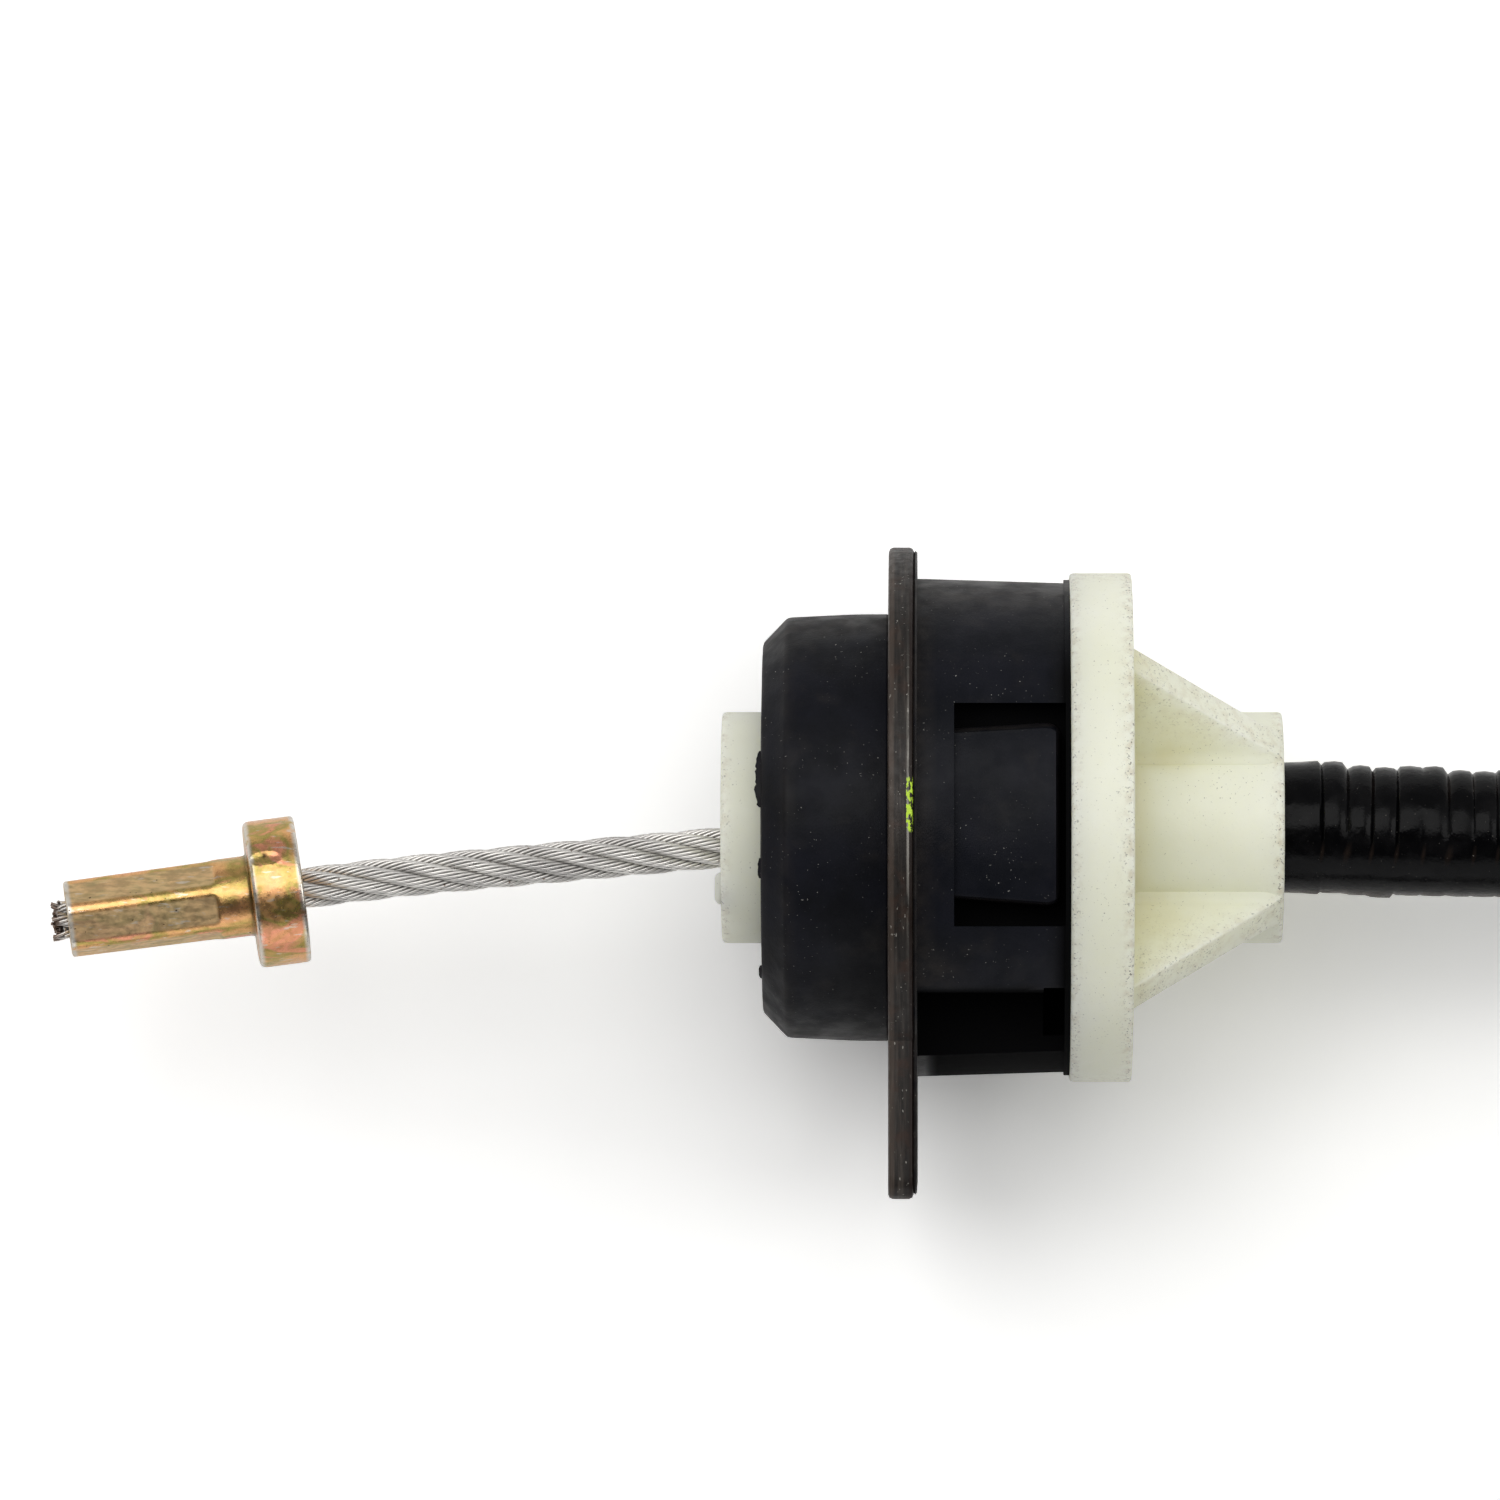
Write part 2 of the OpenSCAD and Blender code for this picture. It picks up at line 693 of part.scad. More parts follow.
// A tie hugs every turn that passes under it.
module coil_tie(angle) {
    turns = [
        for (i = [0:coil_turns * loop_rings]) let (p = i / loop_rings)
            if (round(coil_angle(p) - angle) % 360 == 0) [coil_radius(p), coil_height(p)]
    ];
    head = tie_w * [1.2, 1];
    outer = max([for (t = turns) t[0]]) + casing_r;
    middle = (coil_top_z + coil_low_z) / 2;
    color("#2c2c2e") translate([coil_centre[0], coil_centre[1], 0]) rotate([90, 0, angle])
        linear_extrude(height = tie_w, center = true) difference() {
            union() {
                hull() for (t = turns) translate(t) circle(r = casing_r + tie_t, $fn = 32);
                translate([outer - root, middle - head[1] / 2]) square([tie_t + head[0], head[1]]);
            }
            hull() for (t = turns) translate(t) circle(r = casing_r + fit / 2, $fn = 32);
        }
}

module coil_tie_1() { coil_tie(180); }

module coil_tie_2() { coil_tie(-60); }

module coil_tie_3() { coil_tie(60); }

// ---- Fork end ---------------------------------------------------------------------------

// Here x counts from the end of the casing towards the release fork.
module at_fork_end() {
    translate(fork_origin) rotate([0, 0, 180]) children();
}

grommet_x = shoulder_t;
spigot_x = grommet_x + grommet_flange_t;
spigot_end_x = spigot_x + spigot_len;
cuff_end_x = spigot_end_x + boot_cuff;
lip_start_x = cuff_end_x + boot_folds * boot_pitch;
boot_end_x = lip_start_x + boot_cuff;
shank_x = boot_end_x + stroke + spare_rope;
thread_x = shank_x + shank_len;
thread_end_x = thread_x + thread_len;
washer_x = thread_x + washer_gap;
nut_x = washer_x + washer_t;
lock_x = nut_x + nut_t;
thread_r = thread_d / 2;
// The rope starts inside the ferrule's nose, and still ends in the casing at full stroke.
fork_rope_x = stroke * 0.43;

module casing_ferrule() {
    ferrule_r = ferrule_d / 2;
    crimp_w = ferrule_d / 6;
    crimp_depth = (ferrule_r - seat_r) * 0.4;
    crimps = [-ferrule_grip * 0.75, -ferrule_grip * 0.35];
    color("silver") at_fork_end() difference() {
        lathe(concat(
            [[-ferrule_grip, 0], [-ferrule_grip, ferrule_r]],
            [
                for (x = crimps)
                    each [
                        [x - crimp_w / 2, ferrule_r], [x - crimp_w / 4, ferrule_r - crimp_depth],
                        [x + crimp_w / 4, ferrule_r - crimp_depth], [x + crimp_w / 2, ferrule_r],
                    ]
            ],
            [
                [0, ferrule_r], [0, shoulder_d / 2], [shoulder_t, shoulder_d / 2],
                [shoulder_t, nose_d / 2], [cuff_end_x, nose_d / 2], [cuff_end_x, 0],
            ]
        ));
        rod(-ferrule_grip - past, 0, seat_r);
        rod(-past, cuff_end_x + past, liner_r);
    }
}

module bracket_grommet() {
    spigot_r = spigot_d / 2;
    edge = spigot_len / 15;
    color("#232325") at_fork_end() difference() {
        lathe([
            [grommet_x, 0], [grommet_x, grommet_flange_d / 2], [spigot_x, grommet_flange_d / 2],
            [spigot_x, spigot_r], [spigot_end_x - edge, spigot_r], [spigot_end_x, spigot_r - edge],
            [spigot_end_x, 0],
        ]);
        rod(grommet_x - past, spigot_end_x + past, nose_d / 2 + fit);
    }
}

module dust_boot() {
    cuff_r = nose_d / 2 + fit + boot_wall;
    lip_r = liner_bore_r + boot_wall;
    crest_r = boot_d / 2;
    // Crests and roots shrink evenly from the cuff to the lip.
    function fold_r(i) =
        let (shrink = i / (2 * boot_folds))
        (i % 2 == 1 ? crest_r : cuff_r - boot_wall / 2) * (1 - shrink)
            + (lip_r + (i % 2) * boot_pitch / 2) * shrink;
    folds = [for (i = [0:2 * boot_folds]) [cuff_end_x + i * boot_pitch / 2, fold_r(i)]];
    color("#1c1c1e") at_fork_end() difference() {
        lathe(concat(
            [[spigot_end_x, 0], [spigot_end_x, cuff_r], [cuff_end_x, cuff_r]],
            [for (i = [1:2 * boot_folds - 1]) folds[i]],
            [[lip_start_x, lip_r], [boot_end_x, lip_r], [boot_end_x, 0]]
        ));
        rod(spigot_end_x - past, cuff_end_x, nose_d / 2 + fit);
        lathe(concat(
            [[cuff_end_x - root, 0], [cuff_end_x - root, cuff_r - boot_wall], [cuff_end_x, cuff_r - boot_wall]],
            [for (i = [1:2 * boot_folds - 1]) [folds[i][0], folds[i][1] - boot_wall]],
            [[lip_start_x, liner_bore_r], [lip_start_x, 0]]
        ));
        rod(lip_start_x - past, boot_end_x + past, liner_bore_r);
    }
}

module fork_rope() {
    color("silver") at_fork_end() rod(fork_rope_x, shank_x + shank_grip, rope_r);
}

module adjuster_stud() {
    taper = shank_d / 2 - thread_r;
    flat = [shank_len * 0.65, shank_d, shank_d];
    color("silver") at_fork_end() difference() {
        lathe([
            [shank_x, 0], [shank_x, shank_d / 2 - taper / 2], [shank_x + taper, shank_d / 2],
            [thread_x - taper, shank_d / 2], [thread_x, thread_r], [thread_end_x - thread_pitch, thread_r],
            [thread_end_x, thread_r - thread_pitch / 2], [thread_end_x, 0],
        ]);
        // The swaging die leaves flats on the shank.
        for (a = [0:60:300]) rotate([a, 0, 0])
            translate([shank_x + shank_len * 0.1, -shank_d / 2, shank_d / 2 * cos(20)]) cube(flat);
        rod(shank_x - past, shank_x + shank_grip, rope_r);
    }
}

// The washer's round side rolls in the pocket of the release fork, which clears its rim.
module pivot_washer() {
    washer_r = washer_d / 2;
    ball_r = washer_r * 1.05;
    rim = washer_t / 3;
    ball_x = nut_x - rim + sqrt(ball_r * ball_r - washer_r * washer_r);
    color("darkgray") at_fork_end() difference() {
        intersection() {
            translate([ball_x, 0, 0]) sphere(r = ball_r);
            rod(washer_x, nut_x, washer_r);
        }
        rod(washer_x - past, nut_x + past, thread_r + 2 * thread_play);
    }
}

module hex_nut(x0, thick) {
    corner_r = nut_af / sqrt(3);
    flat_r = nut_af / 2;
    bevel = (corner_r - flat_r) / 2;
    at_fork_end() difference() {
        intersection() {
            translate([x0, 0, 0]) rotate([0, 90, 0]) cylinder(r = corner_r, h = thick, $fn = 6);
            lathe([
                [x0, 0], [x0, flat_r], [x0 + bevel, corner_r], [x0 + thick - bevel, corner_r],
                [x0 + thick, flat_r], [x0 + thick, 0],
            ]);
        }
        rod(x0 - past, x0 + thick + past, thread_r + thread_play);
    }
}

module adjuster_nut() { color("darkkhaki") hex_nut(nut_x, nut_t); }

module lock_nut() { color("darkkhaki") hex_nut(lock_x, lock_t); }

pedal_terminal();
pedal_rope();
guide_bush();
front_isolator();
mounting_plate();
rear_isolator();
end_housing();
liner();
armour();
conduit_end();
conduit_lead();
conduit_coil();
conduit_tail();
conduit_far_end();
coil_tie_1();
coil_tie_2();
coil_tie_3();
casing_ferrule();
bracket_grommet();
dust_boot();
fork_rope();
adjuster_stud();
pivot_washer();
adjuster_nut();
lock_nut();
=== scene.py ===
"""Looks of a clutch release cable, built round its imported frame.

The cable lies on its side: the pedal fitting points to -X, the ribbed casing leaves to +X and
is wound into a tied coil, and the fork end lies beside it. Sizes are in millimetres until a
shell is built, and every point is in the row frame.
"""

import logging
import math
from collections.abc import Callable, Sequence
from dataclasses import dataclass, field
from enum import Enum

import bmesh
import bpy
import numpy as np
from mathutils import Matrix, Vector


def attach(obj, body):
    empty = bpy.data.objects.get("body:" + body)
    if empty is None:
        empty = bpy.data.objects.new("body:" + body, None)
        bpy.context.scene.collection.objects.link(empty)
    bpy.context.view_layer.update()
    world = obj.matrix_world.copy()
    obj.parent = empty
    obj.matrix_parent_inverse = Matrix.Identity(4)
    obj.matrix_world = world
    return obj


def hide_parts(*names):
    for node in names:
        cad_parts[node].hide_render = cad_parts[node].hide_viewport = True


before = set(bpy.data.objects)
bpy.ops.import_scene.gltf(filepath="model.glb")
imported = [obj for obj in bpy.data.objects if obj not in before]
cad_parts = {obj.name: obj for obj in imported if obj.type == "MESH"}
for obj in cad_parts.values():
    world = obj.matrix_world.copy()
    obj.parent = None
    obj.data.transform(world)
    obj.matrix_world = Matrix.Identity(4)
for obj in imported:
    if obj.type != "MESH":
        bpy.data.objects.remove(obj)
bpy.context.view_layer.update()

LOG = logging.getLogger("clutch_cable")
MM = 0.001
TAU = math.tau
UP = np.array([0.0, 0.0, 1.0])

Pair = tuple[float, float]
Triple = tuple[float, float, float]
Colour = Triple
Profile = list[Pair]
Points = np.ndarray
Piece = bpy.types.Object
Socket = bpy.types.NodeSocket
# Gives a ring's radii from its station, radius and angles.
Shape = Callable[[float, float, Points], Points]
# Gives each point a value from its place.
Rule = Callable[[Points], Points]


# ---- Small helpers --------------------------------------------------------------------------


def tint(red: int, green: int, blue: int) -> Colour:
    """Turns a display colour into the linear one that shaders take.

    Args:
        red, green, blue: The display colour, each from 0 to 255.

    Returns:
        The linear colour.
    """

    def linear(value: int) -> float:
        """One channel."""
        share = value / 255
        return share / 12.92 if share <= 0.04045 else ((share + 0.055) / 1.055) ** 2.4

    return linear(red), linear(green), linear(blue)


def ease(values: Points | float, start: float, end: float) -> Points:
    """Rises smoothly from 0 at start to 1 at end."""
    share = np.clip((np.asarray(values, float) - start) / (end - start), 0, 1)
    return share * share * (3 - 2 * share)


def bell(values: Points, middle: float, width: float, power: int = 2) -> Points:
    """1 at the middle, falling away over the width; a higher power has a flatter top."""
    return np.exp(-(((values - middle) / width) ** power))


def half_turn(angles: Points) -> Points:
    """The same angles, from minus half a turn to half a turn."""
    return np.mod(angles + math.pi, TAU) - math.pi


def off_axis(points: Points) -> Points:
    """Distance of each point from the X axis."""
    return np.hypot(points[:, 1], points[:, 2])


def travelled(line: Points) -> Points:
    """Length of a line up to each of its points."""
    return np.concatenate([[0], np.cumsum(np.linalg.norm(np.diff(line, axis=0), axis=1))])


def points_at(line: Points, gone: Points, stops: Points | float) -> Points:
    """Where a line is after the lengths stops, when gone is the length up to each of its points."""
    return np.stack([np.interp(stops, gone, line[:, k]) for k in range(3)], axis=-1)


def shift(x: float, y: float, z: float) -> Matrix:
    """A move by those lengths."""
    return Matrix.Translation((x, y, z))


def show(name: str, data: bpy.types.ID) -> Piece:
    """A new object of the scene.

    Args:
        name: Its name.
        data: Its mesh, lamp or camera.

    Returns:
        The object.
    """
    made = bpy.data.objects.new(name, data)
    bpy.context.scene.collection.objects.link(made)
    return made


def unit(vector: Points) -> Points:
    """The vector or vectors at length 1."""
    return vector / np.linalg.norm(vector, axis=-1, keepdims=True)


# The rounding of a corner reaches no further than this share of its shorter side.
LONGEST_ROUNDING = 0.48


def rounded(corners: Sequence[Triple], wrap: bool = False, steps: int = 5) -> Profile:
    """Rounds the corners of an outline.

    Args:
        corners: Each corner's two coordinates and how far its rounding reaches along its sides.
        wrap: Whether the outline is closed.
        steps: Points in each rounding.

    Returns:
        The outline's points.
    """
    made: Profile = []
    count = len(corners)
    for i, (x, y, reach) in enumerate(corners):
        if reach <= 0 or (not wrap and i in (0, count - 1)):
            made.append((x, y))
            continue
        here = np.array([x, y])
        before = np.array(corners[i - 1][:2]) - here
        after = np.array(corners[(i + 1) % count][:2]) - here
        near = min(reach, *(LONGEST_ROUNDING * np.linalg.norm(side) for side in (before, after)))
        start, end = here + unit(before) * near, here + unit(after) * near
        for t in np.linspace(0, 1, steps):
            point = (1 - t) ** 2 * start + 2 * t * (1 - t) * here + t * t * end
            made.append((float(point[0]), float(point[1])))
    return made


def dense(profile: Profile, step: float, wrap: bool = False) -> Profile:
    """Adds points so that no two neighbours of the profile are further apart than step.

    Args:
        profile: The outline.
        step: The longest distance allowed.
        wrap: Whether the outline is closed.

    Returns:
        The outline with its new points.
    """
    made: Profile = []
    ends = profile[1:] + (profile[:1] if wrap else [])
    for (x0, y0), (x1, y1) in zip(profile, ends):
        parts = max(1, math.ceil(math.hypot(x1 - x0, y1 - y0) / step))
        made += [(x0 + (x1 - x0) * k / parts, y0 + (y1 - y0) * k / parts) for k in range(parts)]
    return made if wrap else made + [profile[-1]]


def turned(profile: Profile, sides: int, shape: Shape | None = None) -> Points:
    """Rings of a piece turned about X.

    Args:
        profile: Station along X and radius of each ring.
        sides: Points in a ring; the first points to +Y, the next towards +Z.
        shape: Gives a ring's radii from its station, radius and angles, where it isn't round.

    Returns:
        An array of rings.
    """
    angles = np.arange(sides) * TAU / sides
    rings = []
    for x, radius in profile:
        radii = shape(x, radius, angles) if shape else np.full(sides, radius)
        rings.append(np.stack([np.full(sides, x), radii * np.cos(angles), radii * np.sin(angles)], axis=1))
    return np.array(rings)


def tube(line: Points, radii: Points | float, sides: int, spin: Points | float = 0.0) -> Points:
    """Rings square to a line.

    Args:
        line: The points of the line.
        radii: One radius, one for each point, or one for each point and side.
        sides: Points in a ring; the first points to the right of the line's run.
        spin: How far each ring is turned about the line.

    Returns:
        An array of rings.
    """
    run = unit(np.gradient(line, axis=0))
    right = unit(np.cross(run, UP))
    over = np.cross(right, run)
    angles = np.arange(sides) * TAU / sides + np.broadcast_to(spin, (len(line),))[:, None]
    size = np.asarray(radii, float)
    size = size[:, None] if size.ndim == 1 else np.broadcast_to(size, (len(line), sides))
    side, rise = (size * np.cos(angles))[..., None], (size * np.sin(angles))[..., None]
    return line[:, None, :] + side * right[:, None, :] + rise * over[:, None, :]


def across_flats(angles: Points, flats: float, start: float = 0.0) -> Points:
    """Radii of a hexagon of that width, with a corner at the angle start."""
    turn = np.mod(angles - start, TAU / 6) - TAU / 12
    return flats / 2 / np.cos(turn)


# ---- Shells ---------------------------------------------------------------------------------


@dataclass
class Shell:
    """Points and faces of one piece in millimetres, gathered part by part."""

    points: Points = field(default_factory=lambda: np.zeros((0, 3)))
    faces: list[tuple[int, ...]] = field(default_factory=list)
    masks: dict[str, Points] = field(default_factory=dict)

    def loft(self, rings: Points, wrap: bool = False, caps: bool = True) -> "Shell":
        """Joins rings of equally many points.

        Args:
            rings: The rings, in order.
            wrap: Whether the last ring is joined to the first.
            caps: Whether open ends are closed.

        Returns:
            The shell itself.
        """
        count, sides, _ = rings.shape
        first = len(self.points)
        self.points = np.concatenate([self.points, rings.reshape(-1, 3)])
        index = first + np.arange(count * sides).reshape(count, sides)
        lower = index if wrap else index[:-1]
        upper = np.roll(index, -1, axis=0) if wrap else index[1:]
        quads = np.stack([lower, np.roll(lower, -1, 1), np.roll(upper, -1, 1), upper], axis=-1)
        self.faces += [tuple(q) for q in quads.reshape(-1, 4).tolist()]
        if caps and not wrap:
            self.faces += [tuple(index[0][::-1].tolist()), tuple(index[-1].tolist())]
        return self

    def plate(self, outline: Profile, levels: Sequence[Pair]) -> "Shell":
        """A sheet cut to an outline in Y and Z.

        Args:
            outline: The closed outline, as (y, z).
            levels: Stations along X and how far the outline is drawn in at each.

        Returns:
            The shell itself.
        """
        flat = np.array(outline)
        along = unit(np.roll(flat, -1, 0) - np.roll(flat, 1, 0))
        area = np.sum(flat[:, 0] * np.roll(flat[:, 1], -1) - np.roll(flat[:, 0], -1) * flat[:, 1])
        inward = np.stack([-along[:, 1], along[:, 0]], 1) * (1 if area > 0 else -1)
        rings = [np.column_stack([np.full(len(flat), x), flat + inward * inset]) for x, inset in levels]
        return self.loft(np.array(rings))

    def move(self, matrix: Matrix) -> "Shell":
        """Moves the whole shell.

        Args:
            matrix: The move.

        Returns:
            The shell itself.
        """
        m = np.array(matrix)
        self.points = self.points @ m[:3, :3].T + m[:3, 3]
        return self

    def paint(self, name: str, rule: Rule) -> "Shell":
        """Gives each point a mask value that materials read, from its place, and returns the shell."""
        self.masks[name] = np.clip(rule(self.points), 0, 1)
        return self

    def join(self, other: "Shell") -> "Shell":
        """Adds another shell.

        Args:
            other: The shell to add.

        Returns:
            The shell itself.
        """
        base = len(self.points)
        for name in sorted({*self.masks, *other.masks}):
            own = self.masks.get(name, np.zeros(base))
            self.masks[name] = np.concatenate([own, other.masks.get(name, np.zeros(len(other.points)))])
        self.points = np.concatenate([self.points, other.points])
        self.faces += [tuple(base + k for k in face) for face in other.faces]
        return self

    def mesh(self, name: str, scale: float = 1.0) -> bpy.types.Mesh:
        """A Blender mesh of the shell, its faces turned outwards.

        Args:
            name: The mesh's name.
            scale: Its size for a size of 1 in the shell.

        Returns:
            The mesh.
        """
        made = bpy.data.meshes.new(name)
        made.from_pydata((self.points * scale).tolist(), [], self.faces)
        for mask, values in self.masks.items():
            made.attributes.new(mask, "FLOAT", "POINT").data.foreach_set("value", values.astype(np.float32))
        shape = bmesh.new()
        shape.from_mesh(made)
        bmesh.ops.recalc_face_normals(shape, faces=shape.faces)
        shape.to_mesh(made)
        shape.free()
        return made

    def carved(
        self, tools: Sequence["Shell"], edge: float = 0.0, steps: int = 3, how: str = "DIFFERENCE"
    ) -> "Shell":
        """Cuts tools out of the shell, or adds them, and rounds its sharp edges.

        Args:
            tools: The shells to cut away or to add.
            edge: Width of the rounding.
            steps: Segments of the rounding.
            how: DIFFERENCE or UNION.

        Returns:
            The new shell, without masks.
        """
        body = show("carving", self.mesh("carving"))
        made = [body]
        for i, tool in enumerate(tools):
            made.append(show(f"cutter_{i}", tool.mesh("cutter")))
            cut = body.modifiers.new("cut", "BOOLEAN")
            cut.operation, cut.solver, cut.object = how, "EXACT", made[-1]
        if edge > 0:
            bevel = body.modifiers.new("edge", "BEVEL")
            bevel.width, bevel.segments, bevel.limit_method = edge, steps, "ANGLE"
            bevel.angle_limit, bevel.miter_outer = math.radians(30), "MITER_ARC"
        graph = bpy.context.evaluated_depsgraph_get()
        result = bpy.data.meshes.new_from_object(body.evaluated_get(graph))
        shell = Shell(
            np.array([v.co for v in result.vertices], float).reshape(-1, 3),
            [tuple(p.vertices) for p in result.polygons],
        )
        for each in made:
            bpy.data.objects.remove(each)
        bpy.data.meshes.remove(result)
        return shell


def box(low: Sequence[float], high: Sequence[float]) -> Shell:
    """A plain block, used as a cutter.

    Args:
        low, high: Two opposite corners.

    Returns:
        The shell.
    """
    (x0, y0, z0), (x1, y1, z1) = low, high
    ring = [[y0, z0], [y1, z0], [y1, z1], [y0, z1]]
    return Shell().loft(np.array([[[x, y, z] for y, z in ring] for x in (x0, x1)]))


def lathe(outline: Profile, step: float, sides: int, shape: Shape | None = None) -> Shell:
    """Turns a closed outline about X, with rings no further apart than step."""
    return Shell().loft(turned(dense(outline, step, wrap=True), sides, shape), wrap=True)


def drill(span: Pair, radius: float, at: Pair, sides: int) -> Shell:
    """A round cutter that spans two stations along X, at a place in Y and Z."""
    return Shell().loft(turned([(x, radius) for x in span], sides)).move(shift(0, *at))


def block(size: Sequence[float], soft: float, steps: int = 4) -> Shell:
    """A rounded block about the origin.

    Args:
        size: Its lengths along X, Y and Z.
        soft: Reach of the rounding of its edges.
        steps: Points in each rounding.

    Returns:
        The shell.
    """
    half_x, half_y, half_z = (s / 2 for s in size)
    rings = []
    for k in range(2 * steps):
        angle = math.pi / 2 * (k % steps) / (steps - 1)
        lift = math.sin(angle) if k < steps else math.cos(angle)
        inset = soft * (1 - lift)
        x = -half_x + soft * (1 - math.cos(angle)) if k < steps else half_x - soft * (1 - math.sin(angle))
        y, z = half_y - inset, half_z - inset
        corners = [(-y, -z, soft), (y, -z, soft), (y, z, soft), (-y, z, soft)]
        rings.append([[x, py, pz] for py, pz in rounded(corners, wrap=True, steps=steps)])
    return Shell().loft(np.array(rings))


# ---- Finishes -------------------------------------------------------------------------------


def fill_ramp(bar: bpy.types.ColorRamp, stops: Sequence[tuple[float, Colour]]) -> None:
    """Gives a colour ramp its stops.

    Args:
        bar: The ramp.
        stops: Place and colour of each stop.
    """
    while len(bar.elements) < len(stops):
        bar.elements.new(0.5)
    for element, (at, colour) in zip(bar.elements, stops):
        element.position, element.color = at, (*colour, 1.0)


class Bench:
    """Lays out the nodes of one material and hands back their sockets."""

    def __init__(self, name: str) -> None:
        """Starts the material with its shader and object coordinates.

        Args:
            name: The material's name.
        """
        self.material = bpy.data.materials.new(name)
        self.material.use_nodes = True
        self.tree = self.material.node_tree
        self.shader = next(n for n in self.tree.nodes if n.type == "BSDF_PRINCIPLED")
        self.where = self.node("ShaderNodeTexCoord").outputs["Object"]
        self.base: Socket | None = None

    def node(self, kind: str, **settings: object) -> bpy.types.Node:
        """A new node with those settings.

        Args:
            kind: Blender's name for it.
            settings: Its properties.

        Returns:
            The node.
        """
        made = self.tree.nodes.new(kind)
        for name, value in settings.items():
            setattr(made, name, value)
        return made

    def feed(self, socket: Socket, value: object) -> None:
        """Links a socket to another, or sets its value.

        Args:
            socket: The socket to fill.
            value: A socket, a colour or a number.
        """
        if isinstance(value, Socket):
            self.tree.links.new(value, socket)
        elif isinstance(value, tuple) and len(value) == 3 and socket.type == "RGBA":
            socket.default_value = (*value, 1.0)
        else:
            socket.default_value = value

    def set(self, **sockets: object) -> None:
        """Sets or links the shader's sockets; an underscore stands for a space."""
        for name, value in sockets.items():
            self.feed(self.shader.inputs[name.replace("_", " ")], value)

    def noise(
        self, grain: float, detail: float = 3.0, stretch: Triple = (1, 1, 1), twist: float = 0.0
    ) -> Socket:
        """Noise at the object's own size.

        Args:
            grain: Size of its grain, in millimetres.
            detail: How many finer layers it has.
            stretch: Factor along each axis.
            twist: How far it is distorted.

        Returns:
            The socket with the result.
        """
        scaled = self.node("ShaderNodeMapping")
        self.feed(scaled.inputs["Vector"], self.where)
        scaled.inputs["Scale"].default_value = tuple(1 / s for s in stretch)
        made = self.node("ShaderNodeTexNoise")
        self.feed(made.inputs["Vector"], scaled.outputs[0])
        settings = {"Scale": 1 / (grain * MM), "Detail": detail, "Roughness": 0.55, "Distortion": twist}
        for name, value in settings.items():
            made.inputs[name].default_value = value
        return made.outputs["Fac"]

    def patches(
        self, grain: float, low: float, high: float, start: float = 0.0, end: float = 1.0, **noise: object
    ) -> Socket:
        """Noise of that grain, mapped from low and high to start and end."""
        return self.span(self.noise(grain, **noise), low, high, start, end)

    def strip(self, low: float, high: float, soft: float = 0.05) -> Socket:
        """1 where the row's X lies between two stations, in millimetres, and 0 elsewhere.

        Args:
            low, high: The two stations.
            soft: Length over which it fades.

        Returns:
            The socket with the result.
        """
        split = self.node("ShaderNodeSeparateXYZ")
        self.feed(split.inputs[0], self.where)
        x = split.outputs["X"]
        rise = self.span(x, (low - soft) * MM, low * MM)
        return self.product(rise, self.span(x, high * MM, (high + soft) * MM, 1, 0))

    def mask(self, name: str) -> Socket:
        """A mask that the shell was painted with."""
        return self.node("ShaderNodeAttribute", attribute_name=name).outputs["Fac"]

    def math(self, how: str, a: object, b: object = 0.0) -> Socket:
        """One sum, held between 0 and 1.

        Args:
            how: Blender's name for the sum.
            a, b: Its two values.

        Returns:
            The socket with the result.
        """
        made = self.node("ShaderNodeMath", operation=how, use_clamp=True)
        self.feed(made.inputs[0], a)
        self.feed(made.inputs[1], b)
        return made.outputs[0]

    def product(self, a: object, b: object) -> Socket:
        """a times b, held between 0 and 1."""
        return self.math("MULTIPLY", a, b)

    def span(
        self, value: object, low: float, high: float, start: float = 0.0, end: float = 1.0
    ) -> Socket:
        """Maps low to start and high to end, held between them.

        Args:
            value: What is mapped.
            low, high: Its two ends.
            start, end: What they become.

        Returns:
            The socket with the result.
        """
        made = self.node("ShaderNodeMapRange", interpolation_type="SMOOTHSTEP")
        settings = {"Value": value, "From Min": low, "From Max": high, "To Min": start, "To Max": end}
        for name, number in settings.items():
            self.feed(made.inputs[name], number)
        return made.outputs[0]

    def blend(self, share: object, a: object, b: object) -> Socket:
        """Colour a where share is 0, b where it is 1.

        Args:
            share: How much of b there is.
            a, b: The two colours.

        Returns:
            The socket with the result.
        """
        made = self.node("ShaderNodeMix", data_type="RGBA")
        self.feed(made.inputs[0], share)
        self.feed(made.inputs[6], a)
        self.feed(made.inputs[7], b)
        return made.outputs[2]

    def coat(self, share: object, colour: object) -> None:
        """Lays a colour over the base colour, as thickly as share says."""
        self.base = self.blend(share, self.base, colour)

    def ramp(self, value: object, stops: Sequence[tuple[float, Colour]]) -> Socket:
        """A colour for each value from 0 to 1.

        Args:
            value: The value.
            stops: Place and colour of each stop.

        Returns:
            The socket with the result.
        """
        made = self.node("ShaderNodeValToRGB")
        fill_ramp(made.color_ramp, stops)
        self.feed(made.inputs[0], value)
        return made.outputs[0]

    def relief(self, height: object, depth: float) -> None:
        """Adds bumps of that many millimetres to those already laid.

        Args:
            height: The bumps, from 0 to 1.
            depth: Their greatest height.
        """
        made = self.node("ShaderNodeBump")
        made.inputs["Strength"].default_value = 1.0
        made.inputs["Distance"].default_value = depth * MM
        self.feed(made.inputs["Height"], height)
        target = self.shader.inputs["Normal"]
        if target.is_linked:
            self.feed(made.inputs["Normal"], target.links[0].from_socket)
        self.feed(target, made.outputs[0])


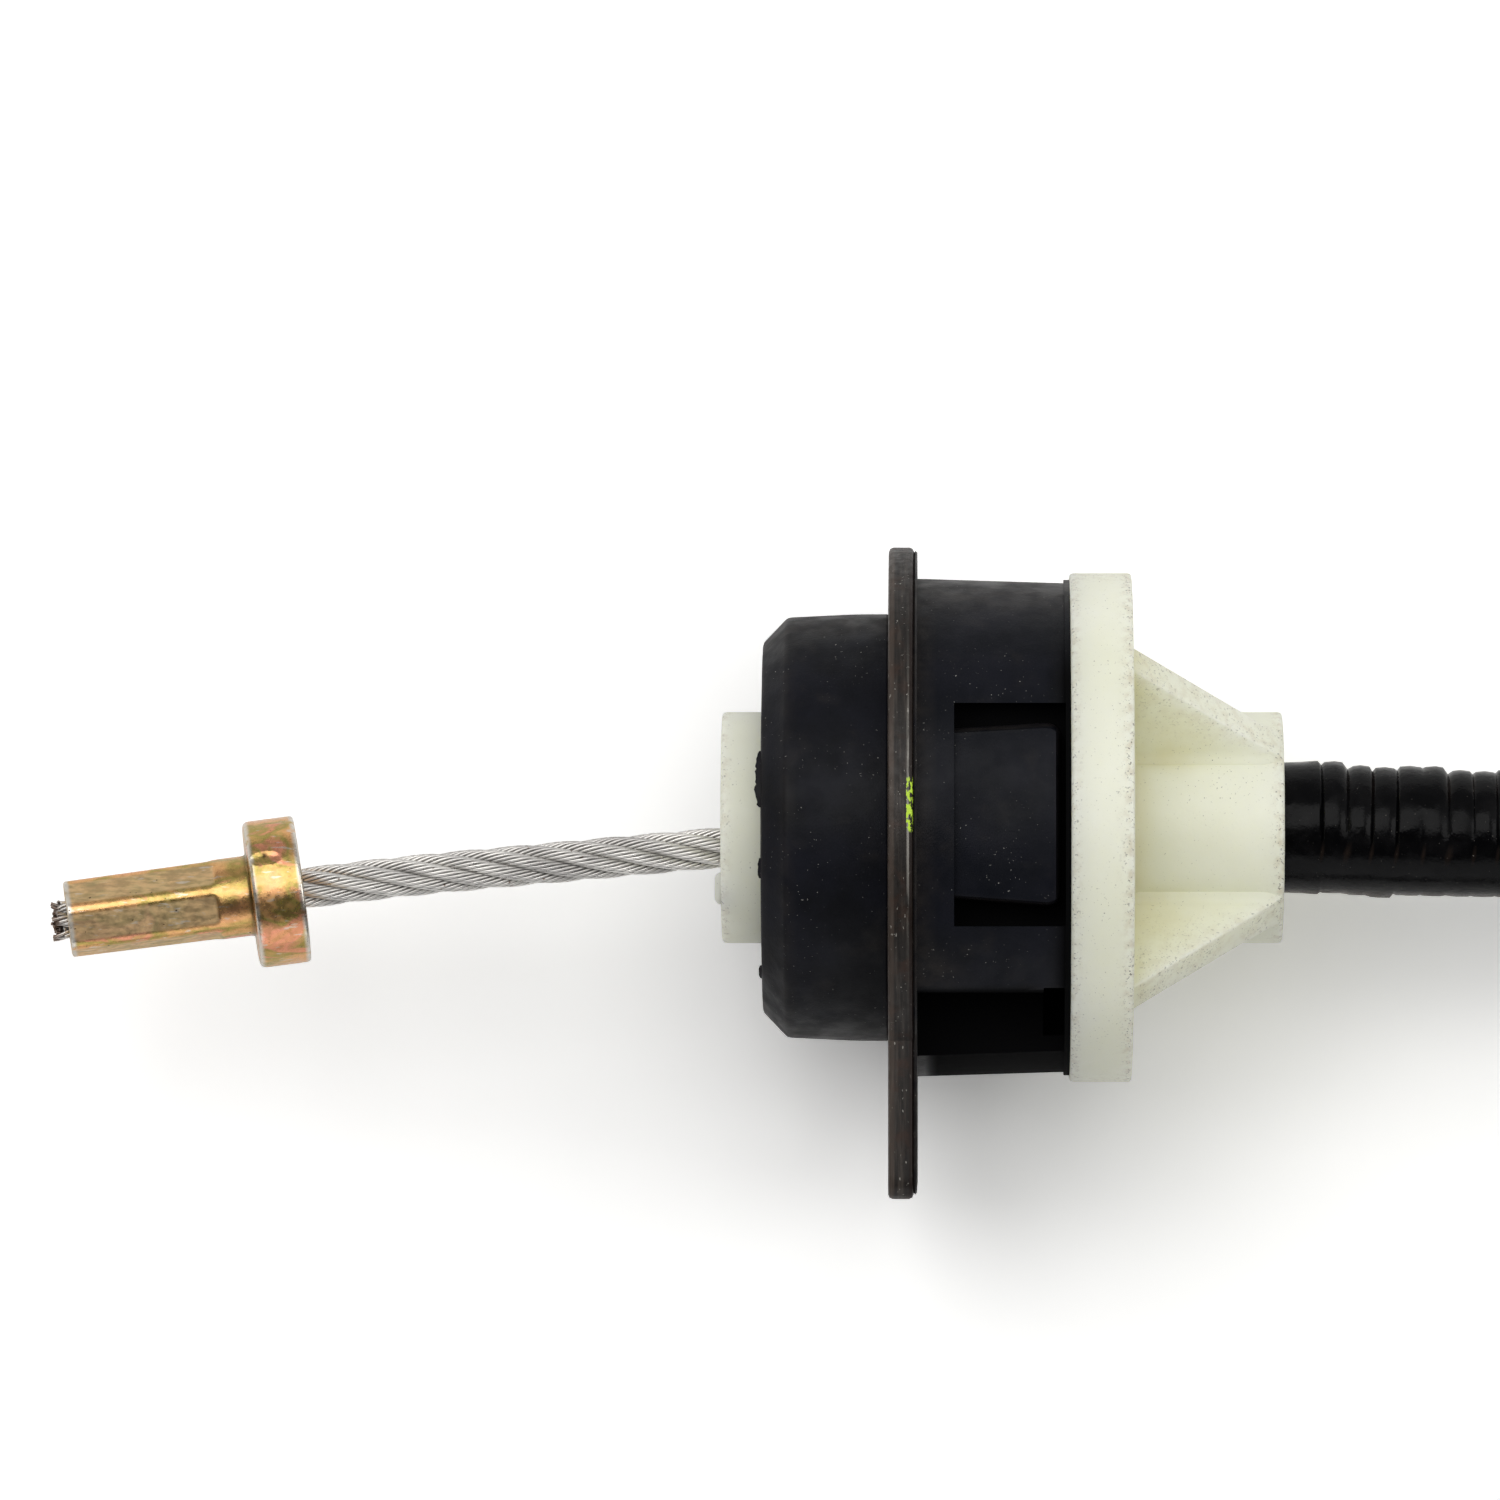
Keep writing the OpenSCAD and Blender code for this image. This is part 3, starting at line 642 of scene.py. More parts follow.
@dataclass(frozen=True)
class Finish:
    """A finish: its name, and a method that lays out its nodes."""

    name: str

    def lay(self, bench: Bench) -> None:
        """Lays the finish's nodes on the bench."""
        raise NotImplementedError

    def material(self) -> bpy.types.Material:
        """The finish's material, made once.

        Returns:
            The material.
        """
        name = f"{self.name}_finish"
        known = bpy.data.materials.get(name)
        if known:
            return known
        bench = Bench(name)
        self.lay(bench)
        return bench.material


@dataclass(frozen=True)
class MouldedNylon(Finish):
    """Natural nylon: ivory, slightly translucent, with painted shade in its corners."""

    pale: Colour = tint(241, 242, 223)
    deep: Colour = tint(234, 235, 213)
    tinge: Colour = tint(222, 216, 172)
    dirt: Colour = tint(62, 48, 32)
    roughness: float = 0.42

    def lay(self, bench: Bench) -> None:
        """Cloudy colour, painted yellowish shade in the nooks, dirt dots near the edges and everywhere a
        few.

        Args:
            bench: The material's bench.
        """
        cloud = bench.noise(9.0, 4.0)
        bench.base = bench.ramp(cloud, [(0.3, self.deep), (0.7, self.pale)])
        # Painted shade: the nook mask darkens the corners towards a yellowish tone.
        nook = bench.product(bench.mask("nook"), bench.patches(5.0, 0.3, 0.65, 0.35, 1.0))
        bench.coat(bench.product(nook, 0.6), self.tinge)
        smudge = bench.product(bench.mask("edge"), bench.patches(0.9, 0.4, 0.7, 0.0, 0.4, detail=4.0))
        bench.coat(smudge, tint(176, 154, 116))
        dots = bench.patches(0.24, 0.6, 0.66, detail=2.0)
        worn = bench.product(bench.mask("edge"), bench.patches(1.8, 0.38, 0.52))
        areas = bench.patches(6.0, 0.4, 0.7, 0.15, 0.7)
        few = bench.product(bench.patches(0.2, 0.7, 0.76, detail=1.0), areas)
        grime = bench.math("MAXIMUM", bench.product(dots, worn), few)
        bench.coat(bench.product(grime, 0.85), self.dirt)
        rough = bench.patches(1.5, 0.3, 0.7, self.roughness - 0.06, self.roughness + 0.08)
        bench.set(Base_Color=bench.base, Roughness=rough)
        bench.set(Subsurface_Weight=0.65, Subsurface_Scale=0.006, Subsurface_Radius=(1.0, 0.97, 0.8))
        bench.relief(bench.noise(0.25, 2.0), 0.012)
        bench.relief(bench.noise(2.2, 2.0), 0.03)


@dataclass(frozen=True)
class Rubber(Finish):
    """Moulded rubber: near black, with a grey bloom, dust, a fine grain, painted sheen on its edge mask and
    painted shade on its nook mask.
    """

    deep: Colour = tint(13, 14, 18)
    bloom_and_sheen: Colour = tint(52, 48, 45)
    dust: Colour = tint(170, 168, 162)
    roughness: float = 0.5
    gloss: float = 0.12
    bloom_share: float = 0.3
    dust_share: float = 0.6

    def lay(self, bench: Bench) -> None:
        """Cloudy black, grey clouds, painted sheen and bloom on the edge mask, dust specks in patches,
        painted shade in the nooks.

        Args:
            bench: The material's bench.
        """
        bench.base = bench.blend(bench.patches(6.0, 0.35, 0.7, detail=4.0), self.deep, tint(21, 22, 29))
        # The edge mask carries painted sheen on the flanks and pad edges as well as bloom.
        edge = bench.product(bench.mask("edge"), bench.patches(1.4, 0.2, 0.75, 0.2, 1.0, detail=4.0))
        cloud = bench.patches(4.0, 0.55, 0.8, 0.0, self.bloom_share, detail=5.0)
        bench.coat(bench.math("MAXIMUM", bench.product(edge, 0.7), cloud), self.bloom_and_sheen)
        specks = bench.product(bench.patches(0.22, 0.73, 0.78, detail=1.0), bench.patches(5.0, 0.4, 0.7))
        bench.coat(bench.product(specks, self.dust_share), self.dust)
        # Painted shade: the nook mask turns pockets, steps and slots black and dull.
        nook = bench.mask("nook")
        bench.coat(nook, tint(3, 3, 4))
        rough = bench.patches(2.5, 0.3, 0.7, self.roughness - 0.08, self.roughness + 0.1, detail=4.0)
        bench.set(Base_Color=bench.base, Roughness=bench.math("MAXIMUM", rough, bench.product(nook, 0.95)))
        bench.set(Specular_IOR_Level=self.gloss)
        bench.relief(bench.noise(0.18, 2.0), 0.014)
        bench.relief(bench.noise(1.3, 3.0), 0.03)


@dataclass(frozen=True)
class ChromatedZinc(Finish):
    """Yellow chromated zinc: gold and olive with pink and green bands, greyer where it was worked."""

    roughness: float = 0.26
    worked: Colour = tint(230, 200, 152)
    dulled: Colour = tint(186, 164, 124)

    def lay(self, bench: Bench) -> None:
        """Bands of interference colour, grey on worked faces, scratches and specks.

        Args:
            bench: The material's bench.
        """
        hue = bench.noise(3.4, 3.0, stretch=(1.6, 1.0, 1.0), twist=0.6)
        bench.base = bench.ramp(
            hue,
            [
                (0.26, tint(236, 170, 130)),
                (0.38, tint(230, 172, 120)),
                (0.46, tint(222, 172, 112)),
                (0.54, tint(170, 154, 84)),
                (0.62, tint(232, 156, 124)),
                (0.76, tint(208, 158, 98)),
            ],
        )
        bench.coat(bench.patches(0.5, 0.48, 0.75, 0.0, 0.4, detail=4.0), tint(158, 118, 66))
        worked = bench.mask("worked")
        mottling = bench.patches(0.5, 0.38, 0.62, detail=5.0, stretch=(3.0, 1.0, 1.0))
        mottled = bench.blend(mottling, self.dulled, self.worked)
        bench.coat(bench.product(worked, 0.8), mottled)
        scuffs = bench.patches(0.4, 0.6, 0.68, detail=4.0, stretch=(5.0, 1.0, 1.0))
        brightened = bench.product(bench.mask("edge"), bench.patches(0.8, 0.25, 0.5))
        bench.coat(bench.math("MAXIMUM", bench.product(scuffs, 0.55), brightened), tint(222, 216, 206))
        pits = bench.patches(0.4, 0.74, 0.78, detail=1.0)
        # The nook mask adds painted shade where the neck meets the collar, and a dark spot in the punch
        # mark.
        dark = bench.math("MAXIMUM", bench.product(pits, 0.8), bench.mask("nook"))
        bench.coat(dark, tint(52, 38, 22))
        plated = bench.patches(0.6, 0.3, 0.7, self.roughness - 0.08, self.roughness + 0.1, detail=4.0)
        rough = bench.math("ADD", bench.product(worked, 0.24), plated)
        bench.set(Base_Color=bench.base, Metallic=0.92, Roughness=rough)
        bench.relief(bench.noise(0.22, 3.0), 0.012)
        bench.relief(bench.math("SUBTRACT", 1.0, pits), 0.05)


@dataclass(frozen=True)
class BrightZinc(Finish):
    """Plain zinc plating: silver, slightly blue, with fine turning marks."""

    tone: Colour = tint(190, 192, 194)
    roughness: float = 0.32

    def lay(self, bench: Bench) -> None:
        """Silver with cloudy dulling, scuffs and pits.

        Args:
            bench: The material's bench.
        """
        bench.base = bench.blend(bench.patches(2.5, 0.35, 0.7, detail=5.0), self.tone, tint(150, 151, 153))
        scuffs = bench.patches(0.4, 0.6, 0.72, detail=4.0, stretch=(4.0, 1.0, 1.0))
        bench.coat(bench.product(scuffs, 0.5), tint(222, 222, 220))
        # Painted shade in the crimped grooves and the thread's roots.
        nook = bench.product(bench.mask("nook"), 0.8)
        bench.coat(nook, tint(62, 58, 54))
        rough = bench.patches(1.0, 0.3, 0.7, self.roughness - 0.08, self.roughness + 0.14, detail=4.0)
        bench.set(Base_Color=bench.base, Metallic=0.95, Roughness=rough)
        bench.relief(bench.noise(0.2, 2.0, stretch=(1.0, 8.0, 8.0)), 0.01)


@dataclass(frozen=True)
class DrawnWire(Finish):
    """Galvanised drawn wire, bright on top, with painted shade in the grooves."""

    bright: Colour = tint(236, 233, 228)
    groove_shade: Colour = tint(70, 66, 66)

    def lay(self, bench: Bench) -> None:
        """Bright metal with painted shade towards the rope's inside.

        Args:
            bench: The material's bench.
        """
        patchy = bench.patches(2.2, 0.35, 0.7, detail=4.0, stretch=(2.0, 1.0, 1.0))
        bench.base = bench.blend(patchy, self.bright, tint(196, 193, 190))
        # Painted shade on the nook mask.
        bench.coat(bench.product(bench.mask("nook"), 0.9), self.groove_shade)
        bench.coat(bench.product(bench.mask("edge"), 0.75), tint(132, 106, 88))
        rust = bench.patches(0.7, 0.68, 0.74, 0.0, 0.8, detail=2.0)
        bench.coat(rust, tint(96, 64, 38))
        bench.set(Base_Color=bench.base, Metallic=0.85, Roughness=bench.patches(0.8, 0.3, 0.7, 0.26, 0.42))
        bench.relief(bench.noise(0.08, 2.0, stretch=(6.0, 1.0, 1.0)), 0.004)


@dataclass(frozen=True)
class GlossyPlastic(Finish):
    """Extruded black plastic with a soft gloss."""

    deep: Colour = tint(4, 4, 5)
    haze: Colour = tint(24, 23, 24)
    worn: Colour = tint(96, 78, 66)
    gloss: float = 0.095
    roughness: float = 0.16
    ripple: float = 0.05

    def lay(self, bench: Bench) -> None:
        """Black with a grey haze, ripples, dust specks and painted shade in the grooves.

        Args:
            bench: The material's bench.
        """
        haze = bench.patches(3.0, 0.45, 0.8, 0.0, 0.5, detail=5.0)
        bench.base = bench.blend(haze, self.deep, self.haze)
        # Painted shade in the grooves.
        bench.coat(bench.product(bench.mask("nook"), 0.8), tint(22, 15, 11))
        scuffs = bench.patches(1.2, 0.2, 0.7, 0.5, 1.0, detail=4.0, stretch=(3.0, 1.0, 1.0))
        # The edge mask also carries a painted highlight at the groove ends.
        bench.coat(bench.product(bench.mask("edge"), scuffs), self.worn)
        specks = bench.patches(0.24, 0.76, 0.8, 0.0, 0.5, detail=1.0)
        bench.coat(specks, tint(120, 116, 110))
        rough = bench.patches(1.6, 0.3, 0.7, self.roughness - 0.06, self.roughness + 0.16, detail=4.0)
        bench.set(Base_Color=bench.base, Roughness=rough)
        bench.set(Specular_IOR_Level=self.gloss)
        bench.relief(bench.noise(1.1, 3.0), self.ripple)
        bench.relief(bench.noise(0.2, 2.0), 0.008)


@dataclass(frozen=True)
class WornSheet(Finish):
    """Dark sheet steel, streaked along its edge, with brown rust, bright scuffed spots and a painted
    highlight along its back edge.
    """

    rubbed_and_highlight: Colour = tint(176, 172, 164)

    def lay(self, bench: Bench) -> None:
        """Streaks, rust clouds, a painted highlight on the edge mask and marker paint on its own mask.

        Args:
            bench: The material's bench.
        """
        streak = bench.noise(0.35, 5.0, stretch=(1.0, 14.0, 14.0))
        greys = [(0.3, tint(22, 19, 17)), (0.52, tint(38, 34, 31)), (0.72, tint(64, 58, 53))]
        bench.base = bench.ramp(streak, greys)
        rust = bench.patches(2.4, 0.5, 0.72, 0.0, 0.7, detail=5.0)
        bench.coat(rust, tint(54, 36, 27))
        nicks = bench.patches(0.24, 0.68, 0.73, detail=2.0, stretch=(1.0, 2.5, 1.0))
        bench.coat(bench.product(nicks, 0.6), self.rubbed_and_highlight)
        bench.coat(bench.product(bench.strip(-0.1, 0.45, 0.2), 0.3), tint(96, 82, 72))
        bench.coat(bench.product(bench.strip(1.95, 2.3, 0.15), 0.8), tint(28, 17, 12))
        # Painted highlight: a bright line along the back edge.
        line = bench.product(bench.strip(1.7, 1.85), bench.mask("edge"))
        brightened = bench.product(line, bench.patches(0.5, 0.3, 0.55, detail=4.0, stretch=(1.0, 6.0, 6.0)))
        bench.coat(brightened, self.rubbed_and_highlight)
        dabbed = bench.product(bench.mask("paint"), bench.strip(1.66, 2.2))
        gaps = bench.patches(0.3, 0.44, 0.54, stretch=(1.0, 1.8, 1.0))
        dab = bench.product(bench.span(dabbed, 0.3, 0.5), gaps)
        bench.coat(dab, tint(190, 226, 60))
        metal = bench.product(bench.math("SUBTRACT", 1.0, dab), 0.18)
        rough = bench.patches(0.8, 0.3, 0.7, 0.36, 0.58, detail=4.0)
        bench.set(Base_Color=bench.base, Metallic=metal, Roughness=rough)
        bench.set(Specular_IOR_Level=0.3)
        bench.relief(streak, 0.02)
        bench.relief(bench.noise(0.25, 3.0), 0.015)


HOUSING_NYLON = MouldedNylon("natural_nylon")
LINER_NYLON = MouldedNylon("liner_plastic", pale=tint(238, 238, 232), roughness=0.3)
FRONT_RUBBER = Rubber("front_rubber", roughness=0.46, gloss=0.1)
REAR_RUBBER = Rubber("rear_rubber", deep=tint(12, 14, 20), roughness=0.42, gloss=0.1, dust_share=0.75)
GROMMET_RUBBER = Rubber("grommet_rubber", deep=tint(18, 18, 19))
BOOT_RUBBER = Rubber("boot_rubber", deep=tint(15, 15, 16), roughness=0.55)
YELLOW_ZINC = ChromatedZinc("yellow_zinc")
WHITE_ZINC = BrightZinc("white_zinc")
WASHER_STEEL = BrightZinc("washer_steel", tone=tint(150, 148, 146), roughness=0.4)
ARMOUR_STEEL = BrightZinc("armour_steel", tone=tint(128, 126, 122), roughness=0.45)
ROPE_WIRE = DrawnWire("rope_wire")
JACKET_PLASTIC = GlossyPlastic("jacket_plastic")
TIE_PLASTIC = GlossyPlastic("tie_plastic", deep=tint(28, 28, 30), roughness=0.36, ripple=0.02)
PLATE_STEEL = WornSheet("plate_steel")


class Body(Enum):
    """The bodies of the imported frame."""

    CASING = "casing"
    PEDAL_WIRE = "pedal_wire"
    FORK_WIRE = "fork_wire"
    FORK_SEAT = "fork_seat"
    ADJUSTER = "adjuster"


def place(
    shell: Shell, name: str, finish: Finish, body: Body, replaces: Sequence[str], crease: float = 38.0
) -> Piece:
    """Makes a piece of a shell and puts it on its body.

    Args:
        shell: The shell, in millimetres and in the row frame.
        name: The piece's name.
        finish: Its finish.
        body: The body that it rides on.
        replaces: The CAD nodes that it stands for.
        crease: Edges sharper than this angle, in degrees, are shaded sharp.

    Returns:
        The piece.
    """
    mesh = shell.mesh(name, MM)
    mesh.shade_smooth()
    mesh.set_sharp_from_angle(angle=math.radians(crease))
    mesh.materials.append(finish.material())
    piece = show(name, mesh)
    weights = piece.modifiers.new("even_shading", "WEIGHTED_NORMAL")
    weights.keep_sharp = True
    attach(piece, body.value)
    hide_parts(*replaces)
    LOG.info("%s: %d points, %d faces", name, len(mesh.vertices), len(mesh.polygons))
    return piece


# ---- Studio ---------------------------------------------------------------------------------


@dataclass(frozen=True)
class Studio:
    """A white table seen from straight above, lit from the upper left and filled from the right."""

    height: float = 1080.0
    eye_x: float = 5.5
    eye_y: float = 6.98
    view_width: float = 135.0
    view_x: float = -12.51
    floor_z: float = -25.25
    floor_size: float = 8000.0
    floor_colour: Colour = (0.97, 0.968, 0.96)
    floor_lift: float = 0.48
    lamps_at: Triple = (-135.0, 245.0, 600.0)
    fill_at: Triple = (480.0, 60.0, 430.0)
    # Each lamp's length along X, its depth and its power.
    softbox: Triple = (860.0, 500.0, 2.3)
    spot: Triple = (180.0, 180.0, 0.22)
    fill: Triple = (340.0, 340.0, 0.7)
    # Strength of the room by how far its direction leans to +Y, from -1 to 1.
    room: tuple[Pair, ...] = (
        (-1.0, 1.1), (-0.84, 1.1), (-0.7, 0.08), (-0.03, 0.08),
        (0.09, 0.64), (0.56, 0.64), (0.76, 0.4), (1.0, 0.4),
    )

    def camera(self) -> None:
        """The camera, with the small shift that frames the object left of its axis."""
        data = bpy.data.cameras.new("camera")
        data.sensor_width = 36.0
        data.lens = data.sensor_width * self.height / self.view_width
        data.shift_x = (self.view_x - self.eye_x) / self.view_width
        data.clip_start, data.clip_end = 0.01, 20.0
        camera = show("camera", data)
        camera.location = (self.eye_x * MM, self.eye_y * MM, self.height * MM)
        bpy.context.scene.camera = camera

    def floor(self) -> None:
        """The table top, which keeps the object's shadow."""
        half = self.floor_size / 2
        corners = [[x * half, y * half, self.floor_z] for x, y in ((-1, -1), (1, -1), (1, 1), (-1, 1))]
        mesh = Shell(np.array(corners), [(0, 1, 2, 3)]).mesh("table", MM)
        bench = Bench("table_white")
        bench.set(Base_Color=self.floor_colour, Roughness=0.9, Specular_IOR_Level=0.0)
        # The camera sees the table whiter than it lights the cable.
        seen = bench.node("ShaderNodeLightPath").outputs["Is Camera Ray"]
        veil = bench.node("ShaderNodeBsdfDiffuse")
        veil.inputs["Color"].default_value = (*(c * self.floor_lift for c in self.floor_colour), 1.0)
        empty = bench.node("ShaderNodeMixShader")
        total = bench.node("ShaderNodeAddShader")
        bench.feed(empty.inputs[0], seen)
        bench.feed(empty.inputs[2], veil.outputs[0])
        bench.feed(total.inputs[0], bench.shader.outputs[0])
        bench.feed(total.inputs[1], empty.outputs[0])
        out = next(n for n in bench.tree.nodes if n.type == "OUTPUT_MATERIAL")
        bench.feed(out.inputs["Surface"], total.outputs[0])
        mesh.materials.append(bench.material)
        show("table", mesh)

    def lamp(self, name: str, at: Sequence[float], width: float, depth: float, power: float) -> None:
        """A lamp at a place, that wide along X, aimed at the cable.

        Args:
            name: Its name.
            at: Its place.
            width, depth: Its two sides.
            power: Its power.
        """
        data = bpy.data.lights.new(name, "AREA")
        data.shape, data.size, data.size_y, data.energy = "RECTANGLE", width * MM, depth * MM, power
        data.color = (1.0, 0.995, 0.985)
        back = Vector(at).normalized()
        side = (Vector((1, 0, 0)) - back * back.x).normalized()
        turn = Matrix((side, back.cross(side), back)).transposed().to_4x4()
        show(name, data).matrix_world = Matrix.Translation(Vector(at) * MM) @ turn

    def world(self) -> None:
        """A pale room, brighter on its +Y side, and white where the camera sees it."""
        world = bpy.data.worlds.new("room")
        bpy.context.scene.world = world
        world.use_nodes = True
        tree = world.node_tree
        tree.nodes.clear()
        where = tree.nodes.new("ShaderNodeTexCoord")
        split = tree.nodes.new("ShaderNodeSeparateXYZ")
        share = tree.nodes.new("ShaderNodeMapRange")
        share.inputs["From Min"].default_value = -1.0
        grade = tree.nodes.new("ShaderNodeValToRGB")
        fill_ramp(grade.color_ramp, [((lean + 1) / 2, (strength,) * 3) for lean, strength in self.room])
        path = tree.nodes.new("ShaderNodeLightPath")
        level = tree.nodes.new("ShaderNodeMix")
        level.inputs[3].default_value = 1.0
        room = tree.nodes.new("ShaderNodeBackground")
        out = tree.nodes.new("ShaderNodeOutputWorld")
        room.inputs["Color"].default_value = (0.985, 0.99, 1.0, 1.0)
        for source, target in (
            (where.outputs["Generated"], split.inputs[0]),
            (split.outputs["Y"], share.inputs["Value"]),
            (share.outputs[0], grade.inputs[0]),
            (path.outputs["Is Camera Ray"], level.inputs[0]),
            (grade.outputs[0], level.inputs[2]),
            (level.outputs[0], room.inputs["Strength"]),
            (room.outputs[0], out.inputs[0]),
        ):
            tree.links.new(source, target)

    def build(self) -> None:
        """Sets up the whole studio."""
        self.camera()
        self.floor()
        self.lamp("softbox", self.lamps_at, *self.softbox)
        self.lamp("spot", self.lamps_at, *self.spot)
        self.lamp("fill", self.fill_at, *self.fill)
        self.world()
        bpy.context.scene.view_settings.view_transform = "Standard"


# ---- Casing and coil ------------------------------------------------------------------------


def smooth_line(route: Points, step: float) -> Points:
    """A smooth curve through a route's points.

    Args:
        route: The points that it passes.
        step: Distance between the points of the result.

    Returns:
        Evenly spaced points.
    """
    padded = np.concatenate([[2 * route[0] - route[1]], route, [2 * route[-1] - route[-2]]])
    p0, p1, p2, p3 = padded[:-3], padded[1:-2], padded[2:-1], padded[3:]
    u = np.linspace(0, 1, 24, endpoint=False)[:, None, None]
    fine = 0.5 * (
        2 * p1 + (p2 - p0) * u + (2 * p0 - 5 * p1 + 4 * p2 - p3) * u**2 + (3 * p1 - p0 - 3 * p2 + p3) * u**3
    )
    fine = np.concatenate([fine.transpose(1, 0, 2).reshape(-1, 3), route[-1:]])
    gone = travelled(fine)
    return points_at(fine, gone, np.linspace(0, gone[-1], max(2, round(gone[-1] / step) + 1)))


@dataclass(frozen=True)
class Coil:
    """Where the casing lies: out of the housing, into the coil, and back to the fork end."""

    # The way into the coil and the way out of it, listed point by point.
    lead: tuple[Triple, ...] = (
        (60, 0, 0), (66, 0, 0), (72, 0, 0), (78, 0, -0.2), (84, 0, -0.8), (90, 0, -1.7), (96, 0, -2.8),
        (102, 0, -3.9), (108, 0, -4.8), (114, 0, -5.4), (120, 0, -5.6), (126, 0, -5.6), (132, 0, -5.6),
    )
    tail: tuple[Triple, ...] = (
        (132, -144, -18), (126, -144, -18), (120, -144, -18), (114, -144, -17.7), (108, -144, -16.8),
        (102, -144, -15.6), (96, -144, -14.4), (90, -144, -13.5), (84, -144, -13.2), (78, -144, -13.2),
        (72, -144, -13.2),
    )
    centre: Pair = (144.0, -72.0)
    radius: float = 72.0
    step: float = 12.4
    turns: float = 2.5
    top_z: float = -5.6
    low_z: float = -18.0
    rings: int = 24
    exit_x: float = 35.5
    far_x: float = 40.0
    sag: float = 0.37

    def point(self, gone: float) -> Triple:
        """The coil's middle line after that many turns.

        Args:
            gone: Turns from the coil's start.

        Returns:
            The point.
        """
        angle = math.radians(90 - 360 * gone)
        reach = self.radius - self.step * min(gone, self.turns - gone)
        share = min(max((gone - self.turns / 2 + 0.25) * 2, 0), 1)
        drop = (1 - math.cos(math.pi * share)) / 2
        height = self.top_z + (self.low_z - self.top_z) * drop
        return self.centre[0] + reach * math.cos(angle), self.centre[1] + reach * math.sin(angle), height

    def route(self, start_x: float) -> Points:
        """The points that the casing passes, to its far end.

        Args:
            start_x: Where it starts, inside the housing.

        Returns:
            The points.
        """
        wound = [self.point(i / self.rings) for i in range(int(self.turns * self.rings) + 1)]
        first = [(x, 0, 0) for x in (start_x, start_x + 6, 40, 47, 54)]
        _, far_y, far_z = self.tail[-1]
        last = [(x, far_y, far_z) for x in (66, 54, self.far_x)]
        points = np.array([*first, *self.lead, *wound, *self.tail, *last], float)
        # Behind the housing the casing hangs a little to -Y.
        hang = self.sag * ease(points[:, 0], 38, 53) * (1 - ease(points[:, 0], 72, 100))
        points[:, 1] -= hang * (points[:, 1] > -1)
        return points

    def crossing(self, angle: float) -> list[Pair]:
        """Radius and height of each turn that passes at an angle, in degrees, about the centre.

        Args:
            angle: The angle.

        Returns:
            The turns that pass there.
        """
        found = []
        for i in range(int(self.turns * self.rings) + 1):
            gone = i / self.rings
            if round(90 - 360 * gone - angle) % 360 == 0:
                x, y, z = self.point(gone)
                found.append((math.hypot(x - self.centre[0], y - self.centre[1]), z))
        return found


